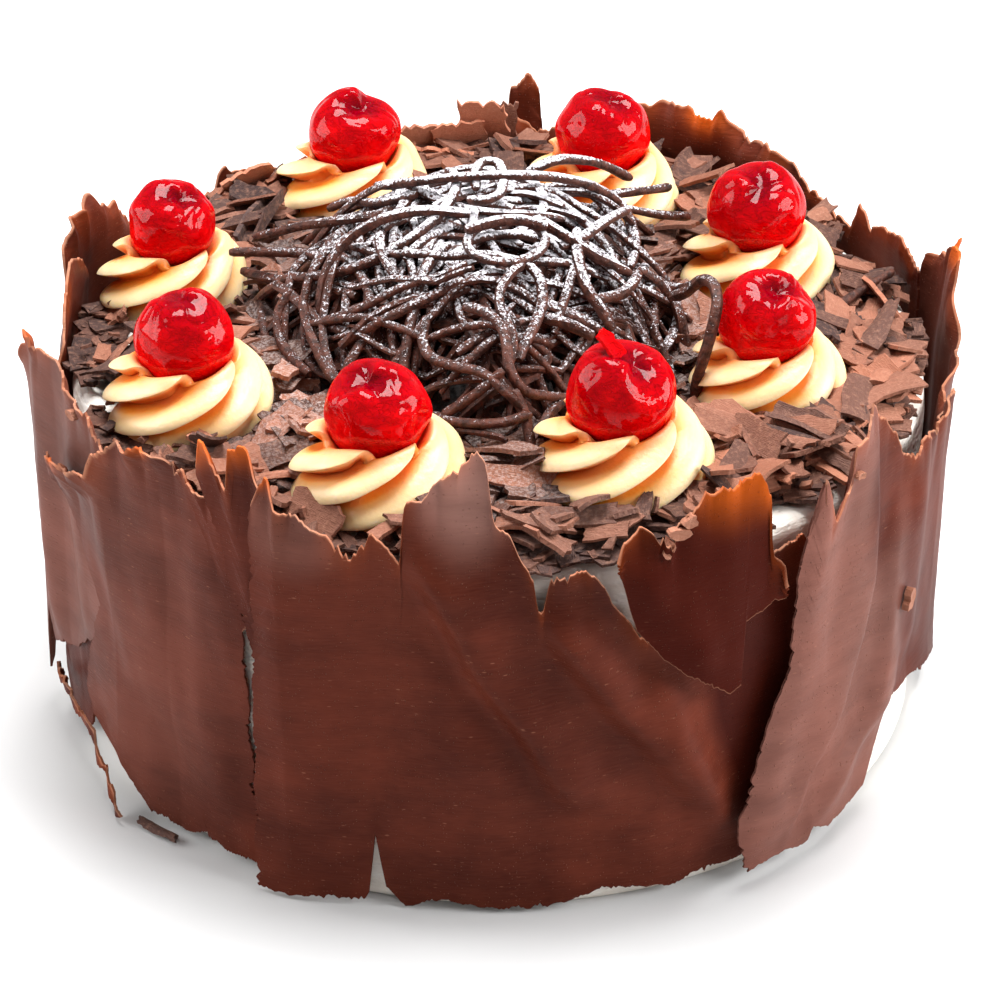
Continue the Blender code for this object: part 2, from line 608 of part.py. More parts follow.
def nest_core():
    """The mound under the strands, turned and then made uneven."""
    rng = random.Random(31)
    rings = []
    for r in range(NEST_RINGS):
        ring = []
        for k in range(NEST_SIDES):
            angle = 2 * math.pi * k / NEST_SIDES
            reach = nest_reach(math.cos(angle), math.sin(angle)) * (1 - r / NEST_RINGS) * rng.uniform(0.95, 1.0)
            x, y = reach * math.cos(angle), reach * math.sin(angle)
            level = 1.2 * MM if r == 0 else nest_level(x, y) * rng.uniform(0.94, 1.0)
            ring.append(Vector((x, y, level)))
        rings.append(ring)
    rings.insert(0, [Vector((p.x, p.y, 0)) for p in rings[0]])
    points, faces = rings_to_solid(rings, Vector((0, 0, 0)), Vector((0, 0, NEST_HEIGHT)))
    return add_object("strand_nest", points, faces, "strands")


def strand_path(rng):
    """Points of a strand: an arc laid over the mound, which it follows up and down."""
    while True:
        length, bend = rng.uniform(*STRAND_LENGTH), rng.uniform(0.6, 1.9)
        angle = rng.uniform(0, 2 * math.pi)
        radius = nest_reach(math.cos(angle), math.sin(angle)) * math.sqrt(rng.uniform(0.05, 0.9))
        heading = rng.uniform(0, 2 * math.pi)
        step = length / STRAND_SEGMENTS
        spots = [Vector((0, 0, 0))]
        for k in range(STRAND_SEGMENTS):
            direction = heading + bend * ((k + 0.5) / STRAND_SEGMENTS - 0.5)
            spots.append(spots[-1] + Vector((math.cos(direction), math.sin(direction), 0)) * step)
        shift = Vector((radius * math.cos(angle), radius * math.sin(angle), 0)) - spots[STRAND_SEGMENTS // 2]
        spots = [s + shift for s in spots]
        if all(s.length < nest_reach(s.x, s.y) - 0.6 * STRAND_WIDTH for s in spots):
            break
    lift = rng.uniform(0.1, 1.5) * MM
    for s in spots:
        s.z = max(nest_level(s.x, s.y) + lift, 0.8 * STRAND_WIDTH)
    return spots


def make_strand(number, spots, collection):
    """A strand carried along its path: a flat top, and a keel that sinks into what it lies on."""
    half = 0.5 * STRAND_WIDTH
    rings = []
    for k, spot in enumerate(spots):
        ahead = (spots[min(k + 1, len(spots) - 1)] - spots[max(k - 1, 0)]).normalized()
        side = ahead.cross(Vector((0, 0, 1))).normalized()
        over = side.cross(ahead).normalized()
        rings.append([spot + side * (a * half) + over * (b * half) for a, b in ((0, -1.4), (1, 1), (-1, 1))])
    points = [p for ring in rings for p in ring]
    faces = [(0, 1, 2), tuple(len(points) - 3 + k for k in (2, 1, 0))]
    for r in range(len(rings) - 1):
        for k in range(3):
            n = (k + 1) % 3
            faces.append((3 * r + k, 3 * r + 3 + k, 3 * r + 3 + n, 3 * r + n))
    obj = add_object(f"strand_{number}", points, faces, "strands", collection)
    mesh = bmesh.new()
    mesh.from_mesh(obj.data)
    bmesh.ops.recalc_face_normals(mesh, faces=mesh.faces)
    mesh.to_mesh(obj.data)
    mesh.free()
    return obj


def make_nest():
    nest = nest_core()
    strands = bpy.data.collections.new("strands")
    bpy.context.scene.collection.children.link(strands)
    rng = random.Random(STRAND_SEED)
    paths = [[Vector(p) * MM for p in loop] for loop in LOOPS]
    paths += [strand_path(rng) for number in range(STRAND_COUNT)]
    pieces = [make_strand(number, path, strands) for number, path in enumerate(paths)]
    union_all(nest, pieces, strands)
    drop_scraps(nest)
    nest.location = NEST_CENTRE


def main():
    clear_scene()
    make_cake()
    make_nest()
    for number in range(len(ROSETTE_ANGLES)):
        make_rosette(number)
        make_cherry(number)
    for name, sheet in SHEETS.items():
        make_sheet(name, sheet)


main()
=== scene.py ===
"""A black forest cake: torn chocolate sheets, piped rosettes with glace cherries, chocolate flakes and
a sugared nest of chocolate strands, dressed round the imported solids.

Metres, +Z up, and -Y is the front. Angles round the cake are in degrees, anticlockwise seen from
above, from +X: the front is 270. Names that end in _MM are in millimetres.
"""

import math

import bpy
import numpy as np
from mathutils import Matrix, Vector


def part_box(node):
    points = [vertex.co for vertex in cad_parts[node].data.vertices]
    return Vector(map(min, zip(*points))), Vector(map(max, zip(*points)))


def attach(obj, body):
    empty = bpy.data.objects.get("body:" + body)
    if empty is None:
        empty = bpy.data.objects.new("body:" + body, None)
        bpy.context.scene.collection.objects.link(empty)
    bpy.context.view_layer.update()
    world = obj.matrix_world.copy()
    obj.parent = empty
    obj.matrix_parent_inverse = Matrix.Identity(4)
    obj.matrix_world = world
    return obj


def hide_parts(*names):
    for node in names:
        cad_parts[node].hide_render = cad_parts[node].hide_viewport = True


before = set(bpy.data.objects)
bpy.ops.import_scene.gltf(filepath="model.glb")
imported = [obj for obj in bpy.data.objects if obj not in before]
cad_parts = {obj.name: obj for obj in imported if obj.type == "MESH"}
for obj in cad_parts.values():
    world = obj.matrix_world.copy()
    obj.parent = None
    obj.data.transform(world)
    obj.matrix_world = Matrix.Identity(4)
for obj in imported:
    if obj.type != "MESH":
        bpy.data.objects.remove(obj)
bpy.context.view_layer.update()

MM = 0.001

# Read from the frame
CAKE_LOW, CAKE_HIGH = (np.array(corner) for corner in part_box("cake"))
CAKE_RADIUS = 0.5 * (CAKE_HIGH[0] - CAKE_LOW[0])
ROSETTES = range(1, 9)
ROSETTE_BOXES = [np.array(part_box(f"rosette_{n}")) for n in ROSETTES]
CHERRY_BOXES = [np.array(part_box(f"cherry_{n}")) for n in ROSETTES]
TOP = ROSETTE_BOXES[0][0, 2]  # what the toppings stand on
TOPPING_CENTRE = np.mean([b.mean(0) for b in ROSETTE_BOXES], axis=0)[:2]
NEST_FOOT = np.array([-0.0052, 0.0045, TOP])  # the middle of the nest's foot

# The photograph's camera
CAMERA_PLACE = (0.0, -0.7736, 0.5133)
CAMERA_DOWN = 31.317  # degrees below level
CAMERA_LENS = 148.44  # mm, on a 36 mm sensor

EDGE_STEP_MM = 0.5  # along a torn edge, between the points of a sheet on the camera's side
ROW_STEP_MM = 0.75
BACK_COARSER = 1.3  # how much longer those steps are on the far side
TEAR_REACH_MM = 5.0  # how far a tear shifts what is inside its edge
SHEET_THICKNESS_MM = 1.15
SHEET_GAP_MM = 0.35  # between the stand of a sheet's solid and its inner face
LIP_REACH_MM = 3.4  # how far down a lip's curl reaches
LEAN_OUT = (55.0, 45.0)  # mm up where a lean outwards starts, and over how many mm it grows
LEAN_IN = (81.0, 22.0)
MM_PER_DEGREE = math.radians(1.0) * (CAKE_RADIUS / MM + 4.0)

# The torn chocolate sheets. "top" and "bottom" are the torn edges from left to right, as (degrees, mm
# up); "left" and "right" are what lies between their ends, where that isn't straight; "stand" is how
# far the inner face stands off the cream; "lean" is how far the top leans out; a fold is a ridge: mm
# out, mm that it reaches to its left and to its right, and the line that it follows.
SHEETS = {
    "sheet_front": {
        "stand": ((240, 5.9), (244, 5.9), (256, 0.9), (262, 0.6), (311, 0.6)),
        "top": ((240.5, 95), (243.4, 104.3), (244.2, 95.5), (246.6, 95.5), (249.4, 91.5), (252.6, 86.5),
                (254.9, 92.4), (256.8, 88.5), (258.2, 85), (258.5, 94), (258.7, 99), (259.8, 101.2),
                (261.2, 101.6), (262, 103.3), (263.5, 106.2), (265.4, 108.6), (266.2, 111.4),
                (267.5, 112.2), (268.5, 107.6), (268.9, 101), (269.2, 96), (271.4, 92), (273.8, 83.5),
                (275, 75), (275.9, 83), (278.6, 84.5), (281.4, 83), (283.2, 77), (287, 67), (298, 66),
                (306, 78), (311, 80)),
        "bottom": ((238.9, 0.6), (245, 0.9), (253.4, 1.3), (254.4, 18), (255.6, 5), (258, 0.4),
                   (262.6, 2.4), (270, 0.8), (276, 0.6), (282.8, 4.2), (292, 2.3), (300, 3.6), (310, 5)),
        "lean": 1.0,
        "folds": ((4.4, 4.2, 9.0, (260.8, 86), (263.2, 78.8), (268, 59.6), (272.8, 48.4), (276.1, 38.4),
                   (280, 25)),
                  (-1.1, 5.0, 3.0, (261.2, 76), (265.6, 60.3), (269.6, 50.1), (272.9, 41.1), (276, 30)),
                  (4.4, 4.0, 7.5, (276.4, 73), (277.6, 68.6), (280.1, 61.8), (285.7, 47.7), (290.1, 38),
                   (295, 24)), (3.2, 5.0, 4.5, (290, 56), (293.7, 36.5), (299.8, 12)),
                  (1.0, 2.0, 7.0, (258.2, 36), (256.8, 26), (256.0, 14)),
                  (0.8, 6.0, 6.0, (265, 44), (268, 36), (270, 28)),
                  (1.2, 12.0, 12.0, (246, 92), (247, 70), (250, 40), (251, 20))),
    },
    "sheet_front_left": {
        "stand": ((197, 6.1), (203, 5.0), (208, 4.4), (214, 4.3), (224, 0.6), (240, 0.6)),
        "top": ((197, 73.4), (204.8, 78.5), (212.3, 82), (213.2, 87), (217, 92.5), (221, 95), (225, 95.5),
                (227.9, 93), (231, 84), (236, 80)),
        "bottom": ((218.4, 1.8), (225, 1.1), (228.8, 2.6), (233.3, 1), (238, 1.7)),
        "left": ((212.7, 12.3), (206.7, 16.1), (204.8, 22.3), (210.3, 48), (202.5, 70)),
        "lean": 0.6,
        "folds": ((1.0, 8.0, 5.0, (221.0, 92), (222, 60), (226, 20)),
                  (0.9, 4.0, 7.0, (212, 84), (214, 60), (219, 30)),
                  (0.9, 5.0, 7.0, (230, 78), (229, 50), (232, 12))),
    },
    "sheet_left": {
        "stand": ((183, 7.4), (188, 7.4), (197, 3.6), (205, 2.3), (214, 2.3)),
        "top": ((184, 80), (189.5, 92), (191.3, 99), (193.5, 95.5), (200, 95), (204, 91.7), (209, 91),
                (213.5, 84)),
        "bottom": ((184, 22), (187, 6), (188.6, 24), (191, 18), (199.4, 25), (207.4, 35), (212, 52)),
        "lean": 0.3,
        "folds": ((1.5, 3.0, 5.0, (193, 94), (193, 60), (194, 22)),
                  (1.2, 4.0, 6.0, (203, 92), (202, 60), (204, 30))),
    },
    "sheet_left_low": {
        "stand": ((187, 4.4), (193, 2.6), (197, 1.4), (203, 0.6), (217, 0.6)),
        "top": ((188, 34), (199, 36), (207, 44), (214, 50)),
        "bottom": ((188, 8), (191, 1), (195, 0.6), (199, 2.5), (201, 10), (207, 12), (213, 4), (217, 1)),
    },
    "strip_left_low": {
        "stand": ((190, 5.4), (199, 5.5), (207, 5.7), (213, 6.5), (218.5, 9.0)),
        "top": ((190, 12.5), (199, 16), (208, 15), (213.5, 10), (218.5, 2.5)),
        "bottom": ((190, 9), (199, 13.5), (207, 12.5), (212, 8), (216.5, 0.6)),
    },
    "shard_front_left_low": {
        "stand": ((228, 2.4), (238, 2.3)),
        "top": ((227.9, 93.5), (229, 94), (231.6, 91.5), (234.5, 90.5)),
        "bottom": ((235.9, 62), (236.8, 59.5), (237.4, 61)),
        "left": ((232, 80),),
        "lean": 0.6,
    },
    "shard_front_left_tall": {
        "stand": ((231, 4.1), (243, 4.1)),
        "top": ((231.9, 98), (232.8, 104.5), (233.8, 104.8), (236.4, 96.5), (237.2, 97.5), (237.9, 107.4),
                (239.9, 106.4), (241, 101), (242.6, 97)),
        "bottom": ((240.2, 53), (241.2, 49), (242.6, 47)),
        "left": ((237.4, 66), (235.2, 82)),
        "lean": 1.0,
    },
    "patch_front_right": {
        "stand": ((282, 5.8), (306, 5.7)),
        "top": ((282.5, 89), (283.2, 92.5), (285.6, 95.5), (288, 93.8), (289.4, 90), (290, 94.4),
                (292, 97), (293.5, 100.6), (294.5, 99.4), (295.6, 101), (297.2, 100.6), (298.6, 101.6),
                (300, 102.8), (301.2, 99.5), (302.3, 96), (302.8, 92), (302.9, 81), (304.6, 79.5),
                (305.6, 73)),
        "bottom": ((283.2, 84), (285.5, 70), (289, 62.5), (293.2, 55.4), (297.9, 49.8), (299.6, 51.5),
                   (299.2, 61), (298.9, 66), (305.6, 69)),
        "lean": 1.0,
        "folds": ((1.8, 5.0, 6.0, (285, 88), (291, 70), (296, 54)),
                  (2.2, 5.0, 5.0, (299.5, 66), (302, 70), (306, 73))),
    },
    "sheet_right": {
        "stand": ((299, 5.0), (312, 4.2), (322, 1.4), (338, 1.4), (345, 3.4), (353, 3.8)),
        "top": ((309.4, 90), (309.9, 95.5), (310.8, 90), (312, 83.5), (313.9, 88), (315.6, 90.5),
                (316.2, 97), (318.2, 97.6), (320.9, 103), (322.5, 99.5), (326.4, 93), (330.1, 84),
                (332.1, 81.6), (334.9, 83.4), (341, 80), (347, 83), (352, 79)),
        "bottom": ((301.2, 2.4), (307.2, 4), (311.4, 2.4), (312.2, 6.4), (316, 2.4), (321.8, 2.5),
                   (325.2, 4.2), (328.6, 17), (331, 20.3), (337.3, 19.4), (350, 15)),
        "left": ((299.4, 12.2), (299.6, 18.4), (301.8, 30.6), (306.3, 50.9), (307.1, 77.1)),
        "right": ((348, 27), (350, 50)),
        "lean": 0.8,
        "folds": ((1.8, 5.5, 5.5, (311, 92), (309.8, 72), (309.6, 53), (307.4, 38.3), (303.6, 24.3),
                   (302.2, 6)),
                  (3.0, 11.0, 2.8, (320.6, 101), (321.4, 79), (321.6, 60), (319.6, 48), (315, 34),
                   (309.6, 22.2), (306.6, 6)),
                  (2.6, 4.2, 9.0, (329.5, 70), (328.6, 45), (327.7, 33.8), (325, 24), (318.2, 17.2),
                   (313, 6)), (2.0, 6.0, 7.0, (334.6, 86), (335.2, 64), (336, 45), (336.6, 26))),
    },
    "sheet_right_back": {
        "stand": ((342, 0.6), (353, 0.8), (363, 2.4), (380, 2.4)),
        "top": ((345, 76), (352, 78), (357, 82), (363.3, 94), (363.8, 100), (367.8, 101.5), (369.8, 97),
                (376.4, 90), (378.5, 82)),
        "bottom": ((343, 20), (350, 12), (355, 2.5), (365, 0.8), (372, 2), (380, 1)),
        "lean": 2.4,
        "folds": ((1.6, 4.0, 6.0, (358, 90), (358, 6)), (1.3, 6.0, 5.0, (370, 98), (370, 24))),
    },
    "shard_right_back": {
        "stand": ((12, 0.8), (40, 0.8)),
        "top": ((12, 90), (18, 92.5), (25, 90.5), (27.5, 88.5), (30.3, 92.5), (32.6, 84), (35.5, 85.5),
                (38, 79)),
        "bottom": ((14, 2), (22, 4), (30, 1.5), (40, 3)),
        "lean": -1.6,
    },
    "sheet_back_right": {
        "stand": ((33, 2.4), (42, 2.4), (50, 0.6), (84, 0.6)),
        "top": ((33, 80), (38, 84), (44, 88.5), (51, 93), (56.6, 96), (58.1, 99), (59, 96), (65, 98.5),
                (70, 96.5), (77, 90), (82, 84)),
        "bottom": ((34, 1), (42, 3.5), (52, 1), (60, 2), (66, 0.8), (75, 3), (83, 1.5)),
        "lean": 0.8,
        "folds": ((1.8, 5.0, 8.0, (46, 90), (50, 40), (54, 4)),
                  (1.7, 4.0, 6.0, (57.5, 92), (61, 40), (63, 14)),
                  (1.6, 7.0, 4.0, (68, 88), (71, 40), (73, 4))),
    },
    "shard_back_tall": {
        "stand": ((82, 4.2), (91, 4.2)),
        "top": ((84.1, 90), (84.3, 96.2), (85.3, 98.4), (86.0, 99.4), (86.9, 98.0), (87.7, 96.2),
                (88.6, 96.6), (88.9, 91)),
        "bottom": ((82, 40), (85, 37), (89, 41)),
        "lean": 0.6,
    },
    "sheet_back": {
        "stand": ((78, 2.4), (90, 2.4), (98, 0.6), (113, 0.6)),
        "top": ((78, 84), (83, 88), (86, 88), (89, 91), (92.9, 92), (94.8, 85), (97, 81.5), (101, 83.5),
                (104, 86), (108, 82), (113, 80)),
        "bottom": ((79, 1), (88, 4), (95, 1.5), (104, 2.5), (112, 1)),
        "lean": 0.6,
        "folds": ((1.6, 5.0, 7.0, (96, 84), (99, 40), (101, 4)),),
    },
    "sheet_back_left": {
        "stand": ((107, 2.4), (115, 2.4), (122, 0.6), (148, 0.6)),
        "top": ((107, 82), (113, 84), (118, 81), (121.6, 84), (124.2, 86.5), (126.2, 82), (128.4, 87.5),
                (130.6, 88.5), (132.4, 90.5), (134, 86), (137, 83), (140, 81), (146, 84)),
        "bottom": ((108, 2), (118, 1), (126, 3.5), (136, 1), (147, 2)),
        "lean": 0.6,
        "folds": ((1.6, 4.0, 8.0, (114.8, 82), (118, 40), (121, 4)),
                  (1.7, 8.0, 4.0, (131, 84), (131, 4))),
    },
    "sheet_left_back": {
        "stand": ((141, 2.4), (176, 2.4)),
        "top": ((141, 80), (147, 82), (151, 90), (153, 94.5), (156, 96), (158.3, 101), (160.5, 98.5),
                (165, 99), (169, 94), (172, 80)),
        "bottom": ((142, 1), (152, 3), (160, 1), (167, 2), (174, 4)),
        "lean": 0.6,
        "folds": ((1.4, 5.0, 6.0, (148, 88), (150, 40), (152, 4)), (1.2, 6.0, 6.0, (160, 90), (160, 4))),
    },
    "shard_left_back": {
        "stand": ((165, 0.8), (189, 0.8)),
        "top": ((165, 88), (168, 93), (174, 97.5), (180, 94), (185, 87), (188.5, 78)),
        "bottom": ((166, 1), (174, 2), (182, 4), (189, 14)),
        "lean": -4.5,
    },
}

# Where a torn top edge curls out: from and to in degrees, and mm out
LIPS = {
    "sheet_front_left": ((199, 214, 2.6), (218, 228, 1.6)),
    "sheet_left": ((186, 196, 1.0),),
    "patch_front_right": ((286, 291, 2.0),),
    "sheet_back_right": ((44, 60, 1.6),),
}

# Where a painted orange glow stands for light showing through a thin torn edge: degrees, mm up, reach in mm
GLOWS = {
    "patch_front_right": ((299, 101, 13),),
    "shard_front_left_tall": ((232.8, 104, 7), (238.6, 106, 7)),
    "sheet_front": ((243.4, 104, 6),),
    "sheet_left": ((190, 97, 6),),
    "sheet_front_left": ((203, 77, 4), (222, 95, 4)),
    "sheet_back_right": ((60, 95, 6), (74, 93, 5)),
    "sheet_right_back": ((366, 100, 6),),
}

# Where the chocolate is paler with painted sheen, where the lights catch it, or darker, partly as painted
# shade in the gap behind the front right patch:
# degrees, mm up, reach along and up in mm, and strength, below 0 for darker
TONES = {
    # sheet_front: painted highlight on the tall peak's top at 266 degrees, and painted shade in the gap
    # behind the patch at 303 and 305.5 degrees
    "sheet_front": ((266, 106, 9, 17, 0.42), (303, 53, 9, 26, -1.5), (305.5, 30, 7, 24, -0.8),
                    (246, 92, 10, 10, 0.12)),
    "patch_front_right": ((292, 76, 60, 60, -1.3),),
    "sheet_right": ((313, 50, 40, 80, 0.2), (325, 80, 8, 20, -0.25), (338, 50, 12, 60, -0.2)),
    "sheet_right_back": ((360, 50, 40, 80, 0.05),),
    "sheet_left": ((199, 60, 40, 50, 0.16),),
    "sheet_front_left": ((214, 50, 30, 60, 0.07),),
    "sheet_left_low": ((200, 20, 30, 40, -0.3),),
    "strip_left_low": ((204, 10, 40, 40, -0.4),),
    "shard_front_left_tall": ((238, 80, 30, 40, -0.2),),
}

ROSETTE_BLADES = 6
ROSETTE_TWIST = 190.0  # degrees that a blade turns from the foot to the rim
BLADE_DEPTH_MM = 5.0
BLADE_FINE = 0.74  # share of a blade's width after which its points lie closer, for the sharp drop
BLADE_CREST = 0.88  # share of a blade's width at which it is highest
ROSETTE_RADIUS_MM = 16.0  # of the outline below, before it is fitted to its solid
CHERRY_RADIUS_MM = 10.5
CHERRY_REACH_MM = 10.7  # of its widest bulges, which its solid's box holds
SEAT_RADIUS_MM = 10.75  # of the hollow that a cherry sits in

FLAKES_REACH_MM = 91.6  # of the flakes, from the cake's middle
NEST_CLEAR_MM = 41.0  # that flakes keep from the nest's middle
ROSETTE_CLEAR_MM = 14.6  # that flakes keep from a rosette's middle
STRAND_CLEAR_MM = 1.2  # that strands keep from a rosette
OVER_ROSETTE_MM = 19.5  # height at which a strand passes over a rosette
STRAND_LENGTH_MM = (24, 78)
STRAND_WIDTH_MM = (1.7, 2.3)
SHOWN_WIDTH_MM = (2.0, 2.5)  # of the listed strands
GRAIN_COUNT = 16000
GRAIN_MM = (0.06, 0.18)  # a grain of sugar's half width
SUGAR_SPOT_MM = (6.0, 4.0)  # where most sugar fell, from the nest's foot
SUGAR_MOST = 1.22  # share of sugar there, before it is cut off at 1
SUGAR_REACH_MM = 59.8  # from there, over which that share falls by 1
SURROUND_STRENGTH = 0.28

# Layers of random strands: name, count, deepest and shallowest mm against the heap, seed, sides of a
# strand, points along it, and share of the sugar that reaches it
STRAND_LAYERS = (("deep_strands", 230, -13.0, -4.5, 52, 5, 11, 0.45),
                 ("chocolate_strands", 120, -5.5, 0.3, 54, 8, 24, 1.0))

# Layers of random flakes: name, count, seed of their places, smallest and largest mm, share of its size
# that a flake keeps from the rosettes, mm up, width as a share of length, spread of the curl, thickness
# in mm, seed of their forms, spread of the tilt, points across and along, and tones
FLAKE_LAYERS = (
    ("flake_bed", 1500, 93, (5.0, 9.0), 0.25, (-0.4, 1.0), (0.5, 0.8), 0.05, (0.5, 0.9), 94, 0.10, (3, 4),
     (0.0, 0.3)),
    ("flakes", 900, 91, (5.5, 18.0), 0.42, (0.4, 4.6), (0.3, 0.62), 0.12, (0.5, 1.1), 92, 0.27, (5, 5),
     (0.0, 1.0)),
    ("crumbs", 700, 95, (1.2, 4.5), 0.42, (0.2, 4.0), (0.4, 0.9), 0.12, (0.5, 1.0), 96, 0.5, (3, 3),
     (0.0, 1.0)),
)

# Where painted light makes the flakes paler, and where sugar fell on them: place and reach in mm, and
# strength
LIT_SPOTS = (((60.0, -42.0), 26.0, 0.7), ((-50.0, -45.0), 30.0, 0.34))
DUST_SPOTS = (((-38.0, -38.0), 20.0, 0.34), ((0.0, -62.0), 16.0, 0.3))


class Value:
    """A number that varies over a surface: sums and products of it add Math nodes."""

    def __init__(self, look, socket):
        self.look, self.socket = look, socket

    def math(self, operation, *inputs):
        return self.look.node("ShaderNodeMath", {"operation": operation}, dict(enumerate(inputs)))

    def __add__(self, other):
        return self.math("ADD", self, other)

    __radd__ = __add__

    def __sub__(self, other):
        return self.math("SUBTRACT", self, other)

    def __rsub__(self, other):
        return self.math("SUBTRACT", other, self)

    def __mul__(self, other):
        return self.math("MULTIPLY", self, other)

    __rmul__ = __mul__

    def __abs__(self):
        return self.math("ABSOLUTE", self)

    def ramp(self, low, high):
        """0 below low, 1 above high, and smooth between."""
        settings = {"interpolation_type": "SMOOTHSTEP"}
        return self.look.node("ShaderNodeMapRange", settings,
                              {"Value": self, "From Min": low, "From Max": high})

    def clamp(self):
        return self.look.node("ShaderNodeClamp", {}, {"Value": self})


class Look:
    """A finish's node tree."""

    def __init__(self, name):
        self.material = bpy.data.materials.new(name)
        self.material.use_nodes = True
        self.nodes = self.material.node_tree.nodes
        self.links = self.material.node_tree.links
        self.nodes.clear()

    def node(self, kind, settings, sockets, output=0):
        """Adds a node: its settings first, then each socket's value or link."""
        node = self.nodes.new(kind)
        for name, value in settings.items():
            setattr(node, name, value)
        for key, value in sockets.items():
            socket = node.inputs[key]
            if isinstance(value, Value):
                self.links.new(value.socket, socket)
            else:
                socket.default_value = value
        return Value(self, node.outputs[output]) if node.outputs else None

    def place(self):
        return self.node("ShaderNodeTexCoord", {}, {}, "Object")

    def sheet_place(self):
        return self.node("ShaderNodeTexCoord", {}, {}, "UV")

    def attribute(self, name):
        return self.node("ShaderNodeAttribute", {"attribute_name": name}, {}, "Fac")

    def stretched(self, vector, scale):
        return self.node("ShaderNodeVectorMath", {"operation": "MULTIPLY"}, {0: vector, 1: scale})

    def noise(self, vector, scale, detail=3.0, roughness=0.5, distortion=0.0):
        sockets = {"Vector": vector, "Scale": scale, "Detail": detail, "Roughness": roughness,
                   "Distortion": distortion}
        return self.node("ShaderNodeTexNoise", {}, sockets, "Fac")

    def cells(self, vector, scale, output="Distance"):
        return self.node("ShaderNodeTexVoronoi", {}, {"Vector": vector, "Scale": scale}, output)

    def part(self, vector, axis):
        return self.node("ShaderNodeSeparateXYZ", {}, {0: vector}, axis)

    def upward(self):
        """How far a surface faces up: 1 is level and 0 is upright."""
        return self.part(self.node("ShaderNodeNewGeometry", {}, {}, "Normal"), "Z")

    def mix(self, share, first, second):
        """A colour between two others."""
        node = self.nodes.new("ShaderNodeMix")
        node.data_type = "RGBA"
        sockets = {"Factor": node.inputs[0], "A": node.inputs[6], "B": node.inputs[7]}
        for key, value in (("Factor", share), ("A", first), ("B", second)):
            if isinstance(value, Value):
                self.links.new(value.socket, sockets[key])
            else:
                sockets[key].default_value = value
        return Value(self, node.outputs[2])

    def bump(self, height, distance):
        return self.node("ShaderNodeBump", {}, {"Height": height, "Distance": distance, "Strength": 1.0})

    def finish(self, **sockets):
        """The Principled shader, with its sockets named in words joined by underscores."""
        named = {key.replace("_", " "): value for key, value in sockets.items()}
        shader = self.node("ShaderNodeBsdfPrincipled", {}, named)
        self.node("ShaderNodeOutputMaterial", {}, {"Surface": shader})
        return self.material


def colour(red, green, blue):
    """A display colour, 0 to 255, as the linear values that a shader takes."""
    display = np.array([red, green, blue]) / 255.0
    linear = np.where(display <= 0.04045, display / 12.92, ((display + 0.055) / 1.055) ** 2.4)
    return (*linear.tolist(), 1.0)


def sheet_chocolate(name, gloss):
    """Milk chocolate: a fine level grain, pale specks and dashes, cloudy tone, thin torn edges, painted
    orange glow where light would show through them, painted pale sheen, and darker patches, partly painted
    shade.
    """
    look = Look(name)
    along = look.sheet_place()
    clouds = look.noise(along, 34.0, 4.0, 0.55)
    grain = look.noise(look.stretched(along, (1.0, 9.0, 1.0)), 260.0, 3.0, 0.6)
    streaks = look.noise(look.stretched(along, (1.0, 5.0, 1.0)), 42.0, 3.0, 0.5)
    chance = look.part(look.cells(along, 1400.0, "Color"), "X")
    specks = (1.0 - look.cells(along, 1400.0).ramp(0.05, 0.26)) * chance.ramp(0.5, 0.6)
    strip = look.stretched(along, (0.45, 1.5, 1.0))
    chosen = look.part(look.cells(strip, 640.0, "Color"), "Y").ramp(0.4, 0.5)
    patches = look.noise(along, 70.0, 2.0).ramp(0.4, 0.6)
    dashes = (1.0 - look.cells(strip, 640.0).ramp(0.04, 0.18)) * chosen * patches
    torn = look.attribute("torn")
    glow = look.attribute("glow")
    tone = (clouds * 0.8 + streaks * 0.2).ramp(0.34, 0.68)
    base = look.mix(tone, colour(68, 25, 15), colour(96, 41, 27))
    base = look.mix(grain.ramp(0.35, 0.75) * 0.14, base, colour(120, 64, 46))
    # painted sheen: pale pinkish grey where the side and top lights catch the sheets, patchy with the
    # clouds and streaks
    base = look.mix(look.attribute("painted_sheen").clamp() * (0.35 + 0.6 * clouds + 0.7 * streaks), base,
                    colour(186, 142, 130))
    # darker chocolate, and painted shade: near black-brown in the gap behind the front right patch and
    # sheet_right's left edge
    dark = look.attribute("dark").clamp()
    base = look.mix(dark * (0.3 + 0.9 * clouds), base, colour(50, 8, 4))
    base = look.mix(((specks * 0.3 + dashes * 0.38) * (0.5 + streaks - 0.7 * dark)).clamp(), base,
                    colour(168, 114, 90))
    base = look.mix(torn.ramp(0.45, 1.0) * (0.35 + 0.5 * look.noise(along, 300.0, 2.0)), base,
                    colour(196, 140, 112))
    # painted glow: orange where light would show through thin torn edges
    base = look.mix((glow * (0.3 + 1.0 * clouds)).clamp(), base, colour(206, 92, 20))
    relief = grain * 0.3 + streaks * 0.15 + clouds * 1.4 + specks * 0.5
    roughness = 0.38 + 0.16 * clouds + 0.12 * torn
    return look.finish(Base_Color=base, Roughness=roughness, Normal=look.bump(relief, 0.00040),
                       Specular_IOR_Level=gloss)


